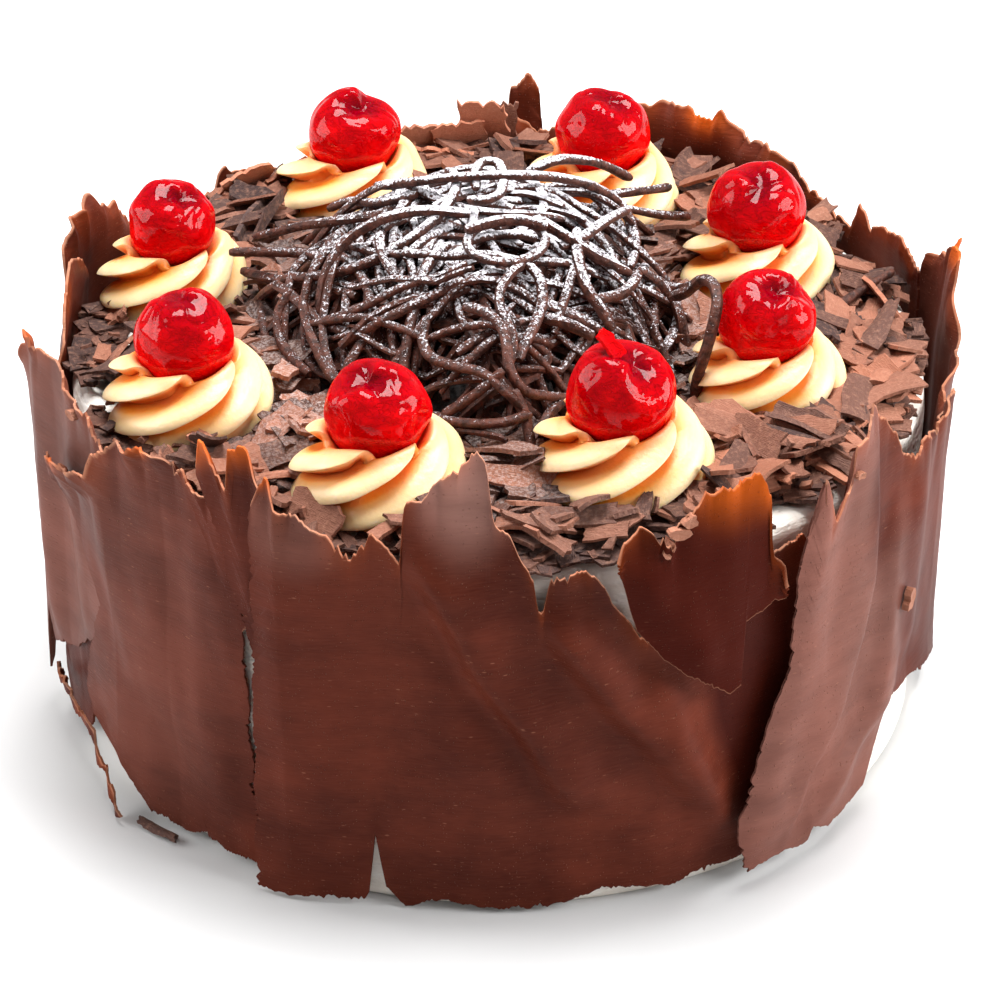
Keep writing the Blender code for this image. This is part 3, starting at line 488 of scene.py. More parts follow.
def flake_chocolate():
    """Shaved chocolate: matte and broken, darker below, with tiny pits, painted highlights in pale dots and
    lines, and a little sugar on top.
    """
    look = Look("flake_chocolate")
    place = look.place()
    tone = look.attribute("tone")
    sugar = look.attribute("sugar")
    pits = look.noise(place, 900.0, 4.0, 0.65)
    lines = look.noise(look.stretched(look.sheet_place(), (1.0, 8.0, 1.0)), 600.0, 3.0, 0.6)
    base = look.mix(tone.clamp(), colour(46, 17, 10), colour(180, 113, 84))
    # painted highlights: pale dots and pale lines, the lines stronger on paler flakes
    base = look.mix((pits.ramp(0.45, 0.75) * 0.25 + lines.ramp(0.5, 0.75) * tone * 0.3).clamp(), base,
                    colour(206, 152, 124))
    dust = look.noise(place, 1500.0, 3.0, 0.7).ramp(0.42, 0.62)
    cover = (look.upward().ramp(0.15, 0.85) * sugar * dust).clamp()
    base = look.mix(cover * 0.85, base, colour(226, 214, 210))
    return look.finish(Base_Color=base, Roughness=0.62 + 0.15 * pits + 0.1 * cover,
                       Normal=look.bump(pits * 0.8 + lines * 0.9, 0.0005))


def strand_chocolate():
    """Dark strands, grooved along their length, with icing sugar in grains wherever they face up."""
    look = Look("strand_chocolate")
    place = look.place()
    sugar = look.attribute("sugar")
    fine = look.noise(place, 1500.0, 2.0, 0.7)
    patches = look.noise(place, 230.0, 3.0, 0.6)
    rough = look.noise(place, 620.0, 4.0, 0.6)
    up = look.upward().ramp(-0.1, 0.85)
    cover = ((up * 0.95 + sugar * 0.62 + patches * 0.5 + fine * 1.7 - 2.38) * 4.0).clamp()
    cover = cover * sugar.ramp(0.0, 0.3)
    base = look.mix(rough.ramp(0.3, 0.7), colour(42, 20, 14), colour(92, 52, 40))
    base = look.mix(cover, base, colour(240, 237, 243))
    relief = rough * 0.8 + cover * 0.7 + fine * 0.4
    return look.finish(Base_Color=base, Roughness=0.5 + 0.4 * cover, Normal=look.bump(relief, 0.0006),
                       Specular_IOR_Level=0.25)


def icing_sugar():
    """Grains of icing sugar."""
    look = Look("icing_sugar")
    shade = look.noise(look.place(), 900.0, 2.0)
    base = look.mix(shade, colour(232, 230, 238), colour(252, 251, 255))
    return look.finish(Base_Color=base, Roughness=0.8 + 0.1 * shade, Specular_IOR_Level=0.2)


def rosette_buttercream():
    """Satin buttercream: pale on the blades, with painted shade that is yellow-orange in the valleys and
    pink-orange by the cherry.
    """
    look = Look("rosette_buttercream")
    place = look.place()
    shade_by_cherry = look.attribute("shade_by_cherry")
    depth = look.attribute("depth")
    cloud = look.noise(place, 110.0, 3.0, 0.5)
    grain = look.noise(place, 1300.0, 2.0, 0.5)
    # painted shade: yellow-orange in the valleys between the blades
    base = look.mix((depth * (0.85 + 0.5 * cloud)).clamp(), colour(232, 202, 152), colour(244, 162, 48))
    base = look.mix((cloud.ramp(0.35, 0.7) * 0.3).clamp(), base, colour(236, 216, 186))
    # painted shade: deeper orange at the bottom of the valleys
    base = look.mix(depth.ramp(0.7, 1.0) * 0.6, base, colour(224, 118, 28))
    # painted shade: pink-orange by the cherry
    base = look.mix((shade_by_cherry * (0.45 + 0.6 * cloud)).clamp(), base, colour(246, 120, 54))
    return look.finish(Base_Color=base, Roughness=0.34 + 0.1 * cloud,
                       Normal=look.bump(grain * 0.4 + cloud * 2.0, 0.0002), Subsurface_Weight=0.3,
                       Subsurface_Radius=(0.0050, 0.0028, 0.0010), Subsurface_Scale=1.0)


def glace_cherry():
    """Sugar-glazed cherry: vivid red flesh, with painted shade in dark crimson at its top, dimple and
    creases, under a wrinkled glaze.
    """
    look = Look("glace_cherry")
    place = look.place()
    cherry_painted_shade = look.attribute("cherry_painted_shade")
    flesh = look.noise(place, 150.0, 3.0, 0.55)
    base = look.mix(flesh.ramp(0.3, 0.75), colour(206, 0, 4), colour(250, 10, 8))
    # painted shade: dark crimson at the top, in the dimple and in the creases
    base = look.mix(cherry_painted_shade.clamp(), base, colour(118, 0, 12))
    wrinkle = look.noise(look.stretched(place, (1.0, 1.0, 1.8)), 260.0, 3.0, 0.6, 1.6)
    wrinkle = 1.0 - abs(wrinkle - 0.5).ramp(0.0, 0.05)
    relief = flesh * 1.4 + look.noise(place, 480.0, 3.0, 0.6) * 0.6 - wrinkle * 0.55
    return look.finish(Base_Color=base, Roughness=0.22 + 0.1 * flesh, Normal=look.bump(relief, 0.0006),
                       Coat_Weight=0.45, Coat_Roughness=0.03, Coat_IOR=1.4, Subsurface_Weight=0.4,
                       Subsurface_Radius=(0.012, 0.0003, 0.0003), Subsurface_Scale=1.0,
                       Specular_IOR_Level=0.0)


def whipped_cream():
    """White cream, spread with small streaks and holes."""
    look = Look("whipped_cream")
    place = look.place()
    spread = look.noise(look.stretched(place, (1.0, 1.0, 3.0)), 90.0, 4.0, 0.6)
    holes = look.cells(place, 420.0).ramp(0.05, 0.3)
    base = look.mix(spread.ramp(0.3, 0.8), colour(236, 226, 214), colour(252, 249, 243))
    return look.finish(Base_Color=base, Roughness=0.5 + 0.15 * spread,
                       Normal=look.bump(spread * 2.0 + holes * 0.3, 0.0007), Subsurface_Weight=0.1,
                       Subsurface_Radius=(0.003, 0.0025, 0.002), Subsurface_Scale=1.0)


def nest_shade():
    """The heap of short strands and crumbs that shows between the strands, near black with painted shade.
    """
    look = Look("nest_shade")
    place = look.place()
    lumps = look.noise(place, 300.0, 5.0, 0.7)
    base = look.mix(lumps.ramp(0.35, 0.7), colour(12, 6, 5), colour(34, 18, 14))
    return look.finish(Base_Color=base, Roughness=0.7 + 0.1 * lumps, Normal=look.bump(lumps, 0.002))


def smooth(t):
    """A step from 0 to 1 that starts and ends level: three t squared less two t cubed."""
    t = np.clip(t, 0.0, 1.0)
    return t * t * (3.0 - 2.0 * t)


def bell(t):
    """1 at 0, and e to the power of less t squared."""
    return np.exp(-t * t)


def away(places, spot):
    """Mm from a spot, in plan."""
    return np.linalg.norm(places - np.array(spot), axis=-1)


def turned(radius, angle, level):
    """Points at a radius and an angle round the upright axis, and at a level."""
    return np.stack(np.broadcast_arrays(radius * np.cos(angle), radius * np.sin(angle), level), axis=-1)


def ripple(seed, size, *coordinates):
    """Smooth noise of about 1: ten plane waves in random directions, their lengths near size."""
    rng = np.random.default_rng(seed)
    count = 10
    directions = rng.normal(size=(count, len(coordinates)))
    directions /= np.linalg.norm(directions, axis=1, keepdims=True)
    waves = 2 * math.pi / (size * rng.uniform(0.65, 1.6, count))
    phases = rng.uniform(0, 2 * math.pi, count)
    total = 0.0
    for direction, wave, phase in zip(directions, waves, phases):
        total = total + np.sin(sum(d * c for d, c in zip(direction, coordinates)) * wave + phase)
    return total * math.sqrt(2.0 / count)


def grid_quads(rows, columns, wrap=False):
    """Faces of a grid of points stored row by row: each with the next in its row and in the next row."""
    row, column = np.meshgrid(np.arange(rows - 1), np.arange(columns - (not wrap)), indexing="ij")
    after = (column + 1) % columns
    corners = (row * columns + column, row * columns + after, (row + 1) * columns + after,
               (row + 1) * columns + column)
    return np.stack(corners, axis=-1).reshape(-1, 4)


def turned_faces(rows, columns, reverse=False):
    """Faces of a skin turned round an axis: a closed grid, and a face over each end."""
    faces = grid_quads(rows, columns, wrap=True).tolist()
    faces += [list(range(columns - 1, -1, -1)), list(range((rows - 1) * columns, rows * columns))]
    return [face[::-1] for face in faces] if reverse else faces


def rim_loop(rows, columns):
    """The points round the edge of a grid, in order."""
    bottom = np.arange(columns)
    right = np.arange(1, rows) * columns + columns - 1
    top = (rows - 1) * columns + np.arange(columns - 2, -1, -1)
    left = np.arange(rows - 2, 0, -1) * columns
    return np.concatenate([bottom, right, top, left])


def slab_faces(rows, columns):
    """Faces of a thin closed slab: an outer grid, an inner grid after it, and the band between them."""
    outer = grid_quads(rows, columns)
    count = rows * columns
    inner = outer[:, ::-1] + count
    loop = rim_loop(rows, columns)
    after = np.roll(loop, -1)
    band = np.stack([after, loop, loop + count, after + count], axis=-1)
    return np.concatenate([outer, inner, band])


def placed(name, data):
    """A new object in the scene."""
    item = bpy.data.objects.new(name, data)
    bpy.context.scene.collection.objects.link(item)
    return item


def add_piece(name, points, faces, finish, replaced=(), values=None, uv=None, sharp=None):
    """A mesh piece that rides on the cake, from arrays of points and faces."""
    mesh = bpy.data.meshes.new(name)
    mesh.from_pydata(np.asarray(points, float).reshape(-1, 3).tolist(), [], [list(f) for f in faces])
    for key, value in (values or {}).items():
        layer = mesh.attributes.new(key, "FLOAT", "POINT")
        layer.data.foreach_set("value", np.asarray(value, np.float32).ravel())
    if uv is not None:
        corners = np.empty(len(mesh.loops), np.int32)
        mesh.loops.foreach_get("vertex_index", corners)
        layer = mesh.uv_layers.new(name="UVMap")
        layer.data.foreach_set("uv", np.asarray(uv, np.float32).reshape(-1, 2)[corners].ravel())
    mesh.shade_smooth()
    if sharp:
        mesh.set_sharp_from_angle(angle=math.radians(sharp))
    mesh.materials.append(finish)
    piece = placed(name, mesh)
    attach(piece, "root")
    if replaced:
        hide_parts(*replaced)


def stand_off(sheet, degrees, height):
    """Mm from the cream to a sheet's inner face: its laps, its lean and its folds, one added to another.
    A fold is a bell curve across, with its own reach on each side of its ridge."""
    out = np.interp(degrees, *zip(*sheet["stand"]))
    lean = sheet.get("lean", 0.0)
    start, reach = LEAN_OUT if lean > 0 else LEAN_IN
    out = out + lean * smooth((height - start) / reach)
    for depth, left, right, *line in sheet.get("folds", ()):
        at, up = np.array(line)[::-1].T
        distance = (degrees - np.interp(height, up, at)) * MM_PER_DEGREE
        distance = np.where(distance < 0, distance / left, distance / right)
        fade = smooth((height - up[0] + 4.0) / 14.0) * smooth((up[-1] + 6.0 - height) / 14.0)
        out = out + depth * np.exp(-distance * distance) * fade
    return out


def edge_across(edge, shares):
    """Points along a top or bottom edge, at shares of its degrees."""
    degrees = edge[0][0] + (edge[-1][0] - edge[0][0]) * shares
    return np.stack([degrees, np.interp(degrees, *zip(*edge))], axis=-1)


def edge_up(edge, shares):
    """Points along a left or right edge, at shares of its height."""
    heights = edge[0][1] + (edge[-1][1] - edge[0][1]) * shares
    return np.stack([np.interp(heights, [h for _, h in edge], [d for d, _ in edge]), heights], axis=-1)


def torn_line(seed, along):
    """Mm that a tear bites in along an edge: a slow ripple, and quicker ones where it tore raggedly."""
    ragged = smooth(0.5 + 0.5 * ripple(seed + 3, 16.0, along))
    bites = 0.5 * np.abs(ripple(seed, 9.0, along)) + 0.7 * ragged * np.abs(ripple(seed + 1, 3.1, along))
    return bites + (0.3 + 0.5 * ragged) * np.abs(ripple(seed + 2, 1.7, along))


def sheet_map(sheet, across, up, seed):
    """Degrees and height over a sheet: its four edges blended across and up, then shifted by its tears,
    which fade inwards."""
    top, bottom = list(sheet["top"]), list(sheet["bottom"])
    left = [bottom[0], *sheet.get("left", ()), top[0]]
    right = [bottom[-1], *sheet.get("right", ()), top[-1]]
    low, high = edge_across(bottom, across), edge_across(top, across)
    near, far = edge_up(left, up), edge_up(right, up)
    tears = [torn_line(seed, high[:, 0] * MM_PER_DEGREE)[None],
             torn_line(seed + 10, low[:, 0] * MM_PER_DEGREE)[None],
             torn_line(seed + 20, near[:, 1])[:, None], torn_line(seed + 30, far[:, 1])[:, None]]
    low, high, near, far = low[None], high[None], near[:, None], far[:, None]
    u, v = across[None, :, None], up[:, None, None]
    left_corners = (1 - v) * low[:, :1] + v * high[:, :1]
    right_corners = (1 - v) * low[:, -1:] + v * high[:, -1:]
    corners = (1 - u) * left_corners + u * right_corners
    blend = (1 - v) * low + v * high + (1 - u) * near + u * far - corners
    degrees, height = blend[..., 0], blend[..., 1]
    tall = (height.max(0) - height.min(0))[None] / TEAR_REACH_MM
    wide = (degrees.max(1) - degrees.min(1))[:, None] * MM_PER_DEGREE / TEAR_REACH_MM
    u, v = u[..., 0], v[..., 0]
    height = height - 0.8 * tears[0] * np.exp((v - 1) * tall) + 0.55 * tears[1] * np.exp(-v * tall)
    sideways = 0.5 * tears[2] * np.exp(-u * wide) - 0.5 * tears[3] * np.exp((u - 1) * wide)
    return degrees + sideways / MM_PER_DEGREE, height


def make_sheet(number, name, sheet, finish):
    """A torn sheet: radius over degrees and height, with ripples, and thinner towards its torn edges."""
    seed = 1000 + 50 * number
    width = (sheet["top"][-1][0] - sheet["top"][0][0]) * MM_PER_DEGREE
    tall = max(h for _, h in sheet["top"]) - min(h for _, h in sheet["bottom"])
    middle = 0.5 * (sheet["top"][0][0] + sheet["top"][-1][0])
    coarser = 1.0 if 180 < middle < 360 else BACK_COARSER
    across = np.linspace(0, 1, max(int(width / (EDGE_STEP_MM * coarser)), 24))
    up = np.linspace(0, 1, max(int(tall / (ROW_STEP_MM * coarser)), 8))
    degrees, height = sheet_map(sheet, across, up, seed)
    along = degrees * MM_PER_DEGREE
    row_wide = degrees.max(1, keepdims=True) - degrees.min(1, keepdims=True)
    from_left = across[None, :] * row_wide * MM_PER_DEGREE
    from_right = (1 - across[None, :]) / np.maximum(across[None, :], 1e-6) * from_left
    from_right[:, 0] = width
    column_tall = (height.max(0) - height.min(0))[None, :]
    from_top, from_low = (1 - up[:, None]) * column_tall, up[:, None] * column_tall
    to_edge = np.minimum(np.minimum(from_left, from_right), np.minimum(from_top, from_low))
    out = stand_off(sheet, degrees, height)
    slow = 0.35 * ripple(seed + 3, 26.0, along, 0.45 * height + 0.2 * along)
    quick = 0.05 * ripple(seed + 4, 8.0, along, 0.5 * height)
    flare = 0.9 * np.exp(-from_top / 5.0) * np.abs(ripple(seed + 5, 14.0, along))
    room = smooth(to_edge / 6.0)
    for start, end, lip in LIPS.get(name, ()):
        inside = smooth((degrees - start) / 3.0) * smooth((end - degrees) / 3.0)
        flare = flare + lip * inside * bell(from_top / LIP_REACH_MM)
    out = out + SHEET_GAP_MM + (slow + quick) * (0.35 + 0.65 * room) + flare
    out = np.maximum(out, 0.45)
    thick = SHEET_THICKNESS_MM * (0.45 + 0.55 * smooth(to_edge / 3.5))
    outer = CAKE_RADIUS + (out + SHEET_THICKNESS_MM) * MM
    level = np.maximum(height, 0.4) * MM
    points = [turned(radius, np.radians(degrees), level) for radius in (outer, outer - thick * MM)]
    torn_low = 0.75 * np.exp(-from_low / 0.6) * smooth((height - 25.0) / 10.0)
    torn = np.maximum(np.maximum(np.exp(-from_top / 0.8), torn_low), 0.5 * np.exp(-to_edge / 0.6))
    glow = np.zeros_like(height)
    for spot_degrees, spot_height, reach in GLOWS.get(name, ()):
        distance = np.hypot((degrees - spot_degrees) * MM_PER_DEGREE, height - spot_height)
        glow = np.maximum(glow, smooth(1.25 - distance / reach) * np.exp(-from_top / (0.7 * reach)))
    # painted glow also along every top edge, where the sheet is thin
    thin_top = 0.2 * np.exp(-from_top / 3.0) * smooth(0.6 + 0.5 * ripple(seed + 6, 12.0, along))
    glow = np.maximum(glow, thin_top)
    # tone above 0 is painted sheen; below 0 is darker chocolate and, in the gap behind the front right
    # patch, painted shade
    tone = np.zeros_like(height)
    for spot_degrees, spot_height, reach_along, reach_up, strength in TONES.get(name, ()):
        distance = np.hypot((degrees - spot_degrees) * MM_PER_DEGREE / reach_along,
                            (height - spot_height) / reach_up)
        tone = tone + strength * smooth(1.5 - distance)
    values = {"torn": torn, "glow": glow, "painted_sheen": tone, "dark": -tone}
    add_piece("torn_" + name, points, slab_faces(len(up), len(across)), finish, (name,),
              {key: [value] * 2 for key, value in values.items()},
              [np.stack([along, height], axis=-1) * MM] * 2, 50)


def flowing(places, values, at):
    """A smooth curve through listed values: on each stretch a cubic whose slopes follow its neighbours."""
    places, values = np.asarray(places, float), np.asarray(values, float)
    slopes = np.gradient(values, places, axis=0)
    k = np.clip(np.searchsorted(places, at, side="right") - 1, 0, len(places) - 2)
    span = places[k + 1] - places[k]
    t = (at - places[k]) / span
    if values.ndim > 1:
        t, span = t[..., None], span[..., None]
    start = (2 * t ** 3 - 3 * t ** 2 + 1) * values[k] + (t ** 3 - 2 * t ** 2 + t) * span * slopes[k]
    return start + (-2 * t ** 3 + 3 * t ** 2) * values[k + 1] + (t ** 3 - t ** 2) * span * slopes[k + 1]


# A rosette's outline: share of the way up its skin, radius and height in mm, and depth of its blades
ROSETTE_OUTLINE = (
    (0.00, 12.6, 0.0, 0.2), (0.08, 14.9, 0.9, 0.6), (0.25, 16.2, 3.6, 0.95), (0.45, 16.3, 7.4, 1.0),
    (0.62, 14.9, 11.0, 1.0), (0.78, 12.7, 14.2, 0.85), (0.88, 10.9, 16.1, 0.6), (0.94, 9.4, 15.4, 0.3),
    (1.00, 7.2, 12.4, 0.0),
)


def make_rosette(number, finish):
    """A piped swirl. Its skin is the outline turned round; each blade is a ramp that swells to a crest
    and drops sharply, and the blades turn by the twist as they rise."""
    low, high = ROSETTE_BOXES[number - 1]
    middle = 0.5 * (low + high)
    rng = np.random.default_rng(300 + number)
    size = (high[0] - low[0]) / (2 * ROSETTE_RADIUS_MM * MM)
    shares, radii, heights, depths = np.array(ROSETTE_OUTLINE).T
    rise = np.linspace(0, 1, 72)
    phase = np.concatenate([np.linspace(0, BLADE_FINE, 19)[:-1], np.linspace(BLADE_FINE, 1.0, 19)[:-1]])
    turn = ((np.arange(ROSETTE_BLADES)[:, None] + phase) / ROSETTE_BLADES).ravel()
    phase = np.tile(phase, ROSETTE_BLADES)[None, :]
    blade = np.repeat(np.arange(ROSETTE_BLADES), len(phase[0]) // ROSETTE_BLADES)
    strong = rng.uniform(0.8, 1.15, ROSETTE_BLADES)[blade][None, :]
    start = rng.uniform(0, 6.3, ROSETTE_BLADES)[blade]
    strong = strong + 0.22 * np.sin(3.0 * math.pi * rise[:, None] + start)
    turn = turn + rng.uniform(-0.016, 0.016, ROSETTE_BLADES)[blade]
    radius, level = (flowing(shares, v, rise)[:, None] for v in (radii, heights))
    depth = BLADE_DEPTH_MM * np.maximum(flowing(shares, depths, rise)[:, None], 0.0) * strong
    drop = 1 - smooth((phase - BLADE_CREST) / (1 - BLADE_CREST))
    swell = np.where(phase < BLADE_CREST, np.sin(0.5 * math.pi * phase / BLADE_CREST) ** 1.1, drop)
    angle = 2 * math.pi * turn[None, :] + math.radians(ROSETTE_TWIST) * rise[:, None] ** 0.85
    angle = angle + math.radians(rng.uniform(0, 360)) + 0.055 * swell * np.minimum(depth, 2.0)
    slope_out, slope_up = np.gradient(radius[:, 0]), np.gradient(level[:, 0])
    length = np.hypot(slope_out, slope_up)
    normal_out, normal_up = (slope_up / length)[:, None], (-slope_out / length)[:, None]
    push = depth * (swell - 0.72)
    wobble = 0.3 * ripple(500 + number, 15.0, radius * np.cos(angle), radius * np.sin(angle),
                          level + 0 * angle)
    skin_radius = (radius + normal_out * push + wobble) * size
    skin_level = (level + normal_up * push * 0.9) * size
    cherry_low, cherry_high = CHERRY_BOXES[number - 1]
    cherry_level = (0.5 * (cherry_low + cherry_high)[2] - TOP) / MM
    seat = SEAT_RADIUS_MM * size
    from_cherry = np.hypot(skin_radius, skin_level - cherry_level)
    keep = np.maximum(from_cherry, seat) / from_cherry
    skin_radius = skin_radius * keep
    skin_level = np.maximum(cherry_level + (skin_level - cherry_level) * keep, 0.0)
    # painted shade by the cherry, fading over 2.6 mm from its seat
    shade_by_cherry = np.exp(-np.maximum(from_cherry - seat, 0.0) / 2.6)
    points = turned(skin_radius * MM, angle, TOP + skin_level * MM) + np.array([*middle[:2], 0.0])
    # depth: where the painted valley shade goes, from each blade's swell
    values = {"shade_by_cherry": shade_by_cherry, "depth": smooth(1.35 * (1 - swell)) * np.minimum(depth / 1.4, 1.0)}
    add_piece(f"piped_rosette_{number}", points, turned_faces(*skin_radius.shape), finish,
              (f"rosette_{number}",), values, None, 60)


# Each cherry's dimple: which way it leans from straight up, its depth in mm and its width in radians
DIMPLES = ((0.32, -0.22, 3.6, 0.50), (0.34, -0.34, 2.6, 0.42), (-0.10, -0.10, 1.8, 0.36),
           (-0.22, -0.26, 2.7, 0.42), (0.26, -0.20, 2.4, 0.40), (0.26, -0.34, 3.3, 0.38),
           (0.02, -0.52, 2.4, 0.40), (0.12, -0.06, 1.8, 0.38))
TORN_CHERRY = 5  # has a flap of torn skin on its top


def make_cherry(number, finish):
    """A glace cherry: a ball with a dimple at its stalk, broad dents and sharp shallow creases."""
    low, high = CHERRY_BOXES[number - 1]
    middle = 0.5 * (low + high)
    rng = np.random.default_rng(700 + number)
    around, down = np.linspace(0, 2 * math.pi, 128, endpoint=False), np.linspace(0.02, math.pi - 0.02, 96)
    around, down = np.meshgrid(around, down)
    lean_x, lean_y, deep, wide = DIMPLES[number - 1]
    stalk = np.array([lean_x, lean_y, 1.0])
    stalk /= np.linalg.norm(stalk)
    side = np.cross(stalk, [0.3, 1.0, 0.1])
    side /= np.linalg.norm(side)
    third = np.cross(stalk, side)
    ball = (np.sin(down) * np.cos(around))[..., None] * side
    ball = ball + (np.sin(down) * np.sin(around))[..., None] * third + np.cos(down)[..., None] * stalk
    x, y, z = np.moveaxis(ball * 10.4, -1, 0)
    uneven = 1 + 0.35 * np.sin(2 * around + rng.uniform(0, 6.3))
    uneven = uneven + 0.2 * np.sin(3 * around + rng.uniform(0, 6.3))
    dimple = bell(down / (wide * uneven))
    rim = bell((down - 2.0 * wide * uneven) / (0.5 * wide))
    dents = ripple(number * 7 + 1, 11.0, x, y, z)
    creases = np.abs(ripple(number * 7 + 2, 8.0, x, y, z))
    creases = creases + 0.5 * np.abs(ripple(number * 7 + 3, 4.0, x, y, z))
    near_stalk = bell(down)
    sharp_creases = np.exp(-creases / 0.10)
    spokes = np.abs(np.sin(2.5 * around + 1.4 * ripple(number * 7 + 4, 9.0, x, y, z))) ** 0.7
    collar = bell((down - 0.62) / 0.42)
    radius = CHERRY_RADIUS_MM - deep * dimple + 0.07 * deep * rim + 0.26 * dents
    radius = radius - (0.5 * near_stalk + 0.08) * sharp_creases - 0.35 * collar * (1 - spokes)
    size = (high - low)[0] / (2 * CHERRY_REACH_MM)
    points = middle + ball * radius[..., None] * size * np.array([1.0, 1.0, 0.97])
    # painted shade: dark in the dimple, in the sharp creases near the stalk, and over the top, where less
    # light comes through
    cherry_painted_shade = 0.45 * dimple + 0.45 * sharp_creases * near_stalk + 0.75 * smooth(0.30 + 0.75 * ball[..., 2])
    add_piece(f"glace_cherry_{number}", points, turned_faces(*radius.shape, reverse=True), finish,
              (f"cherry_{number}",), {"cherry_painted_shade": cherry_painted_shade})


def make_skin_flap(finish):
    """The flap of torn skin, which leans up and to the left from near its cherry's top."""
    low, high = CHERRY_BOXES[TORN_CHERRY - 1] / MM
    x, y, z = 0.5 * (low + high)
    lone_flake("cherry_skin_flap", (x - 2.6, y - 0.9, z + 9.0), (6.6, 4.6, 0.6), (142.0, -40.0), 0.25,
               131, (9, 9), finish, {"cherry_painted_shade": 0.35}, 50)


# The nest: how far it reaches from its foot's centre, as (degrees, mm), and its height in mm. It fills
# the gaps between the rosettes.
NEST_REACH = ((0, 50), (20, 45.5), (42, 56), (63, 45.5), (88, 50), (113, 45.5), (138, 53), (160, 46),
              (187, 55), (210, 47), (232, 52), (254, 48), (276, 64), (297, 48), (318, 53), (338, 46),
              (360, 50))
NEST_HEIGHT_MM = 30.5
NEST_FALL = 2.7  # power of the share of its reach with which the heap falls away


def nest_reach(x, y):
    """Mm that the nest reaches in the direction of a point."""
    return np.interp(np.degrees(np.arctan2(y, x)) % 360, *zip(*NEST_REACH))


def nest_level(x, y):
    """Height of the heap of strands, in mm above its foot: full, less a power of the share of its reach."""
    return NEST_HEIGHT_MM * (1 - np.minimum(np.hypot(x, y) / nest_reach(x, y), 1.0) ** NEST_FALL)


def beside(ahead):
    """The directions square to the way ahead: the level one to its side, and the one over it."""
    ahead = ahead / np.linalg.norm(ahead, axis=-1, keepdims=True)
    side = np.cross(ahead, [0.0, 0.0, 1.0])
    side /= np.maximum(np.linalg.norm(side, axis=-1, keepdims=True), 1e-6)
    return side, np.cross(side, ahead)


def tubes(paths, width_mm, height_mm, twist, sides):
    """Strands: a rounded square carried along each path, turning by its twist, and ending in smaller
    rings. Paths are in mm."""
    count, length = paths.shape[:2]
    side, over = beside(np.gradient(paths, axis=1))
    turn = 2 * math.pi * (np.arange(sides) + 0.5) / sides
    square = np.maximum(np.abs(np.cos(turn)), np.abs(np.sin(turn))) ** -0.5
    taper = np.ones(length)
    taper[[0, -1]] = 0.72
    wide = 0.5 * np.reshape(width_mm, (-1, 1, 1)) * np.cos(turn) * square * taper[None, :, None]
    tall = 0.5 * np.reshape(height_mm, (-1, 1, 1)) * np.sin(turn) * square * taper[None, :, None]
    spin = np.reshape(twist, (-1, 1)) * np.linspace(-0.5, 0.5, length)[None, :]
    cos_s, sin_s = np.cos(spin)[..., None], np.sin(spin)[..., None]
    a, b = wide * cos_s - tall * sin_s, wide * sin_s + tall * cos_s
    rings = paths[:, :, None] + side[:, :, None] * a[..., None] + over[:, :, None] * b[..., None]
    quads = grid_quads(length, sides, wrap=True)[:, ::-1]
    ends = [np.arange(sides), np.arange(sides)[::-1] + (length - 1) * sides]
    first = np.arange(count) * length * sides
    faces = (quads[None] + first[:, None, None]).reshape(-1, 4).tolist()
    for end in ends:
        faces += (end[None] + first[:, None]).tolist()
    return rings.reshape(-1, 3) * MM, faces


def strand_paths(count, seed, deep, shallow, points):
    """Arcs laid over the heap. Each turns in plan by its bend, more towards one end; its height is the
    heap's, plus its layer, its tilt and a slow wave."""
    rng = np.random.default_rng(seed)
    length = rng.uniform(*STRAND_LENGTH_MM, count)
    bend = rng.choice([-1, 1], count) * (0.25 + 3.0 * rng.uniform(0, 1, count) ** 1.6) * (length / 60)
    angle, distance = rng.uniform(0, 2 * math.pi, count), 54 * rng.uniform(0, 1, count) ** 0.55
    heading = angle + 0.5 * math.pi + rng.normal(0, 0.75, count)
    t = np.linspace(-0.5, 0.5, points)[None, :]
    uneven = rng.uniform(-0.8, 0.8, (count, 1))
    direction = heading[:, None] + bend[:, None] * (t + uneven * t * t)
    step = length[:, None] / (points - 1)
    x, y = np.cumsum(np.cos(direction) * step, axis=1), np.cumsum(np.sin(direction) * step, axis=1)
    x = x - x[:, points // 2, None] + (distance * np.cos(angle))[:, None]
    y = y - y[:, points // 2, None] + (distance * np.sin(angle))[:, None]
    layer = rng.uniform(deep, shallow, (count, 1))
    waves = t * rng.uniform(0.5, 1.4, (count, 1)) + rng.uniform(0, 1, (count, 1))
    wave = np.sin(2 * math.pi * waves)
    z = np.maximum(nest_level(x, y) + layer + wave + rng.normal(0, 5.0, (count, 1)) * t, 1.4)
    return np.stack([x, y, z], axis=-1)


def clear_of_rosettes(paths):
    """Which strands stay outside every rosette in plan, or above it."""
    plan = paths[..., :2] + NEST_FOOT[:2] / MM
    free = np.ones(len(paths), bool)
    for low, high in ROSETTE_BOXES:
        distance, reach = away(plan, 0.5 * (low + high)[:2] / MM), 0.5 * (high - low)[0] / MM
        free &= ((distance > reach + STRAND_CLEAR_MM) | (paths[..., 2] > OVER_ROSETTE_MM)).all(axis=1)
    return free


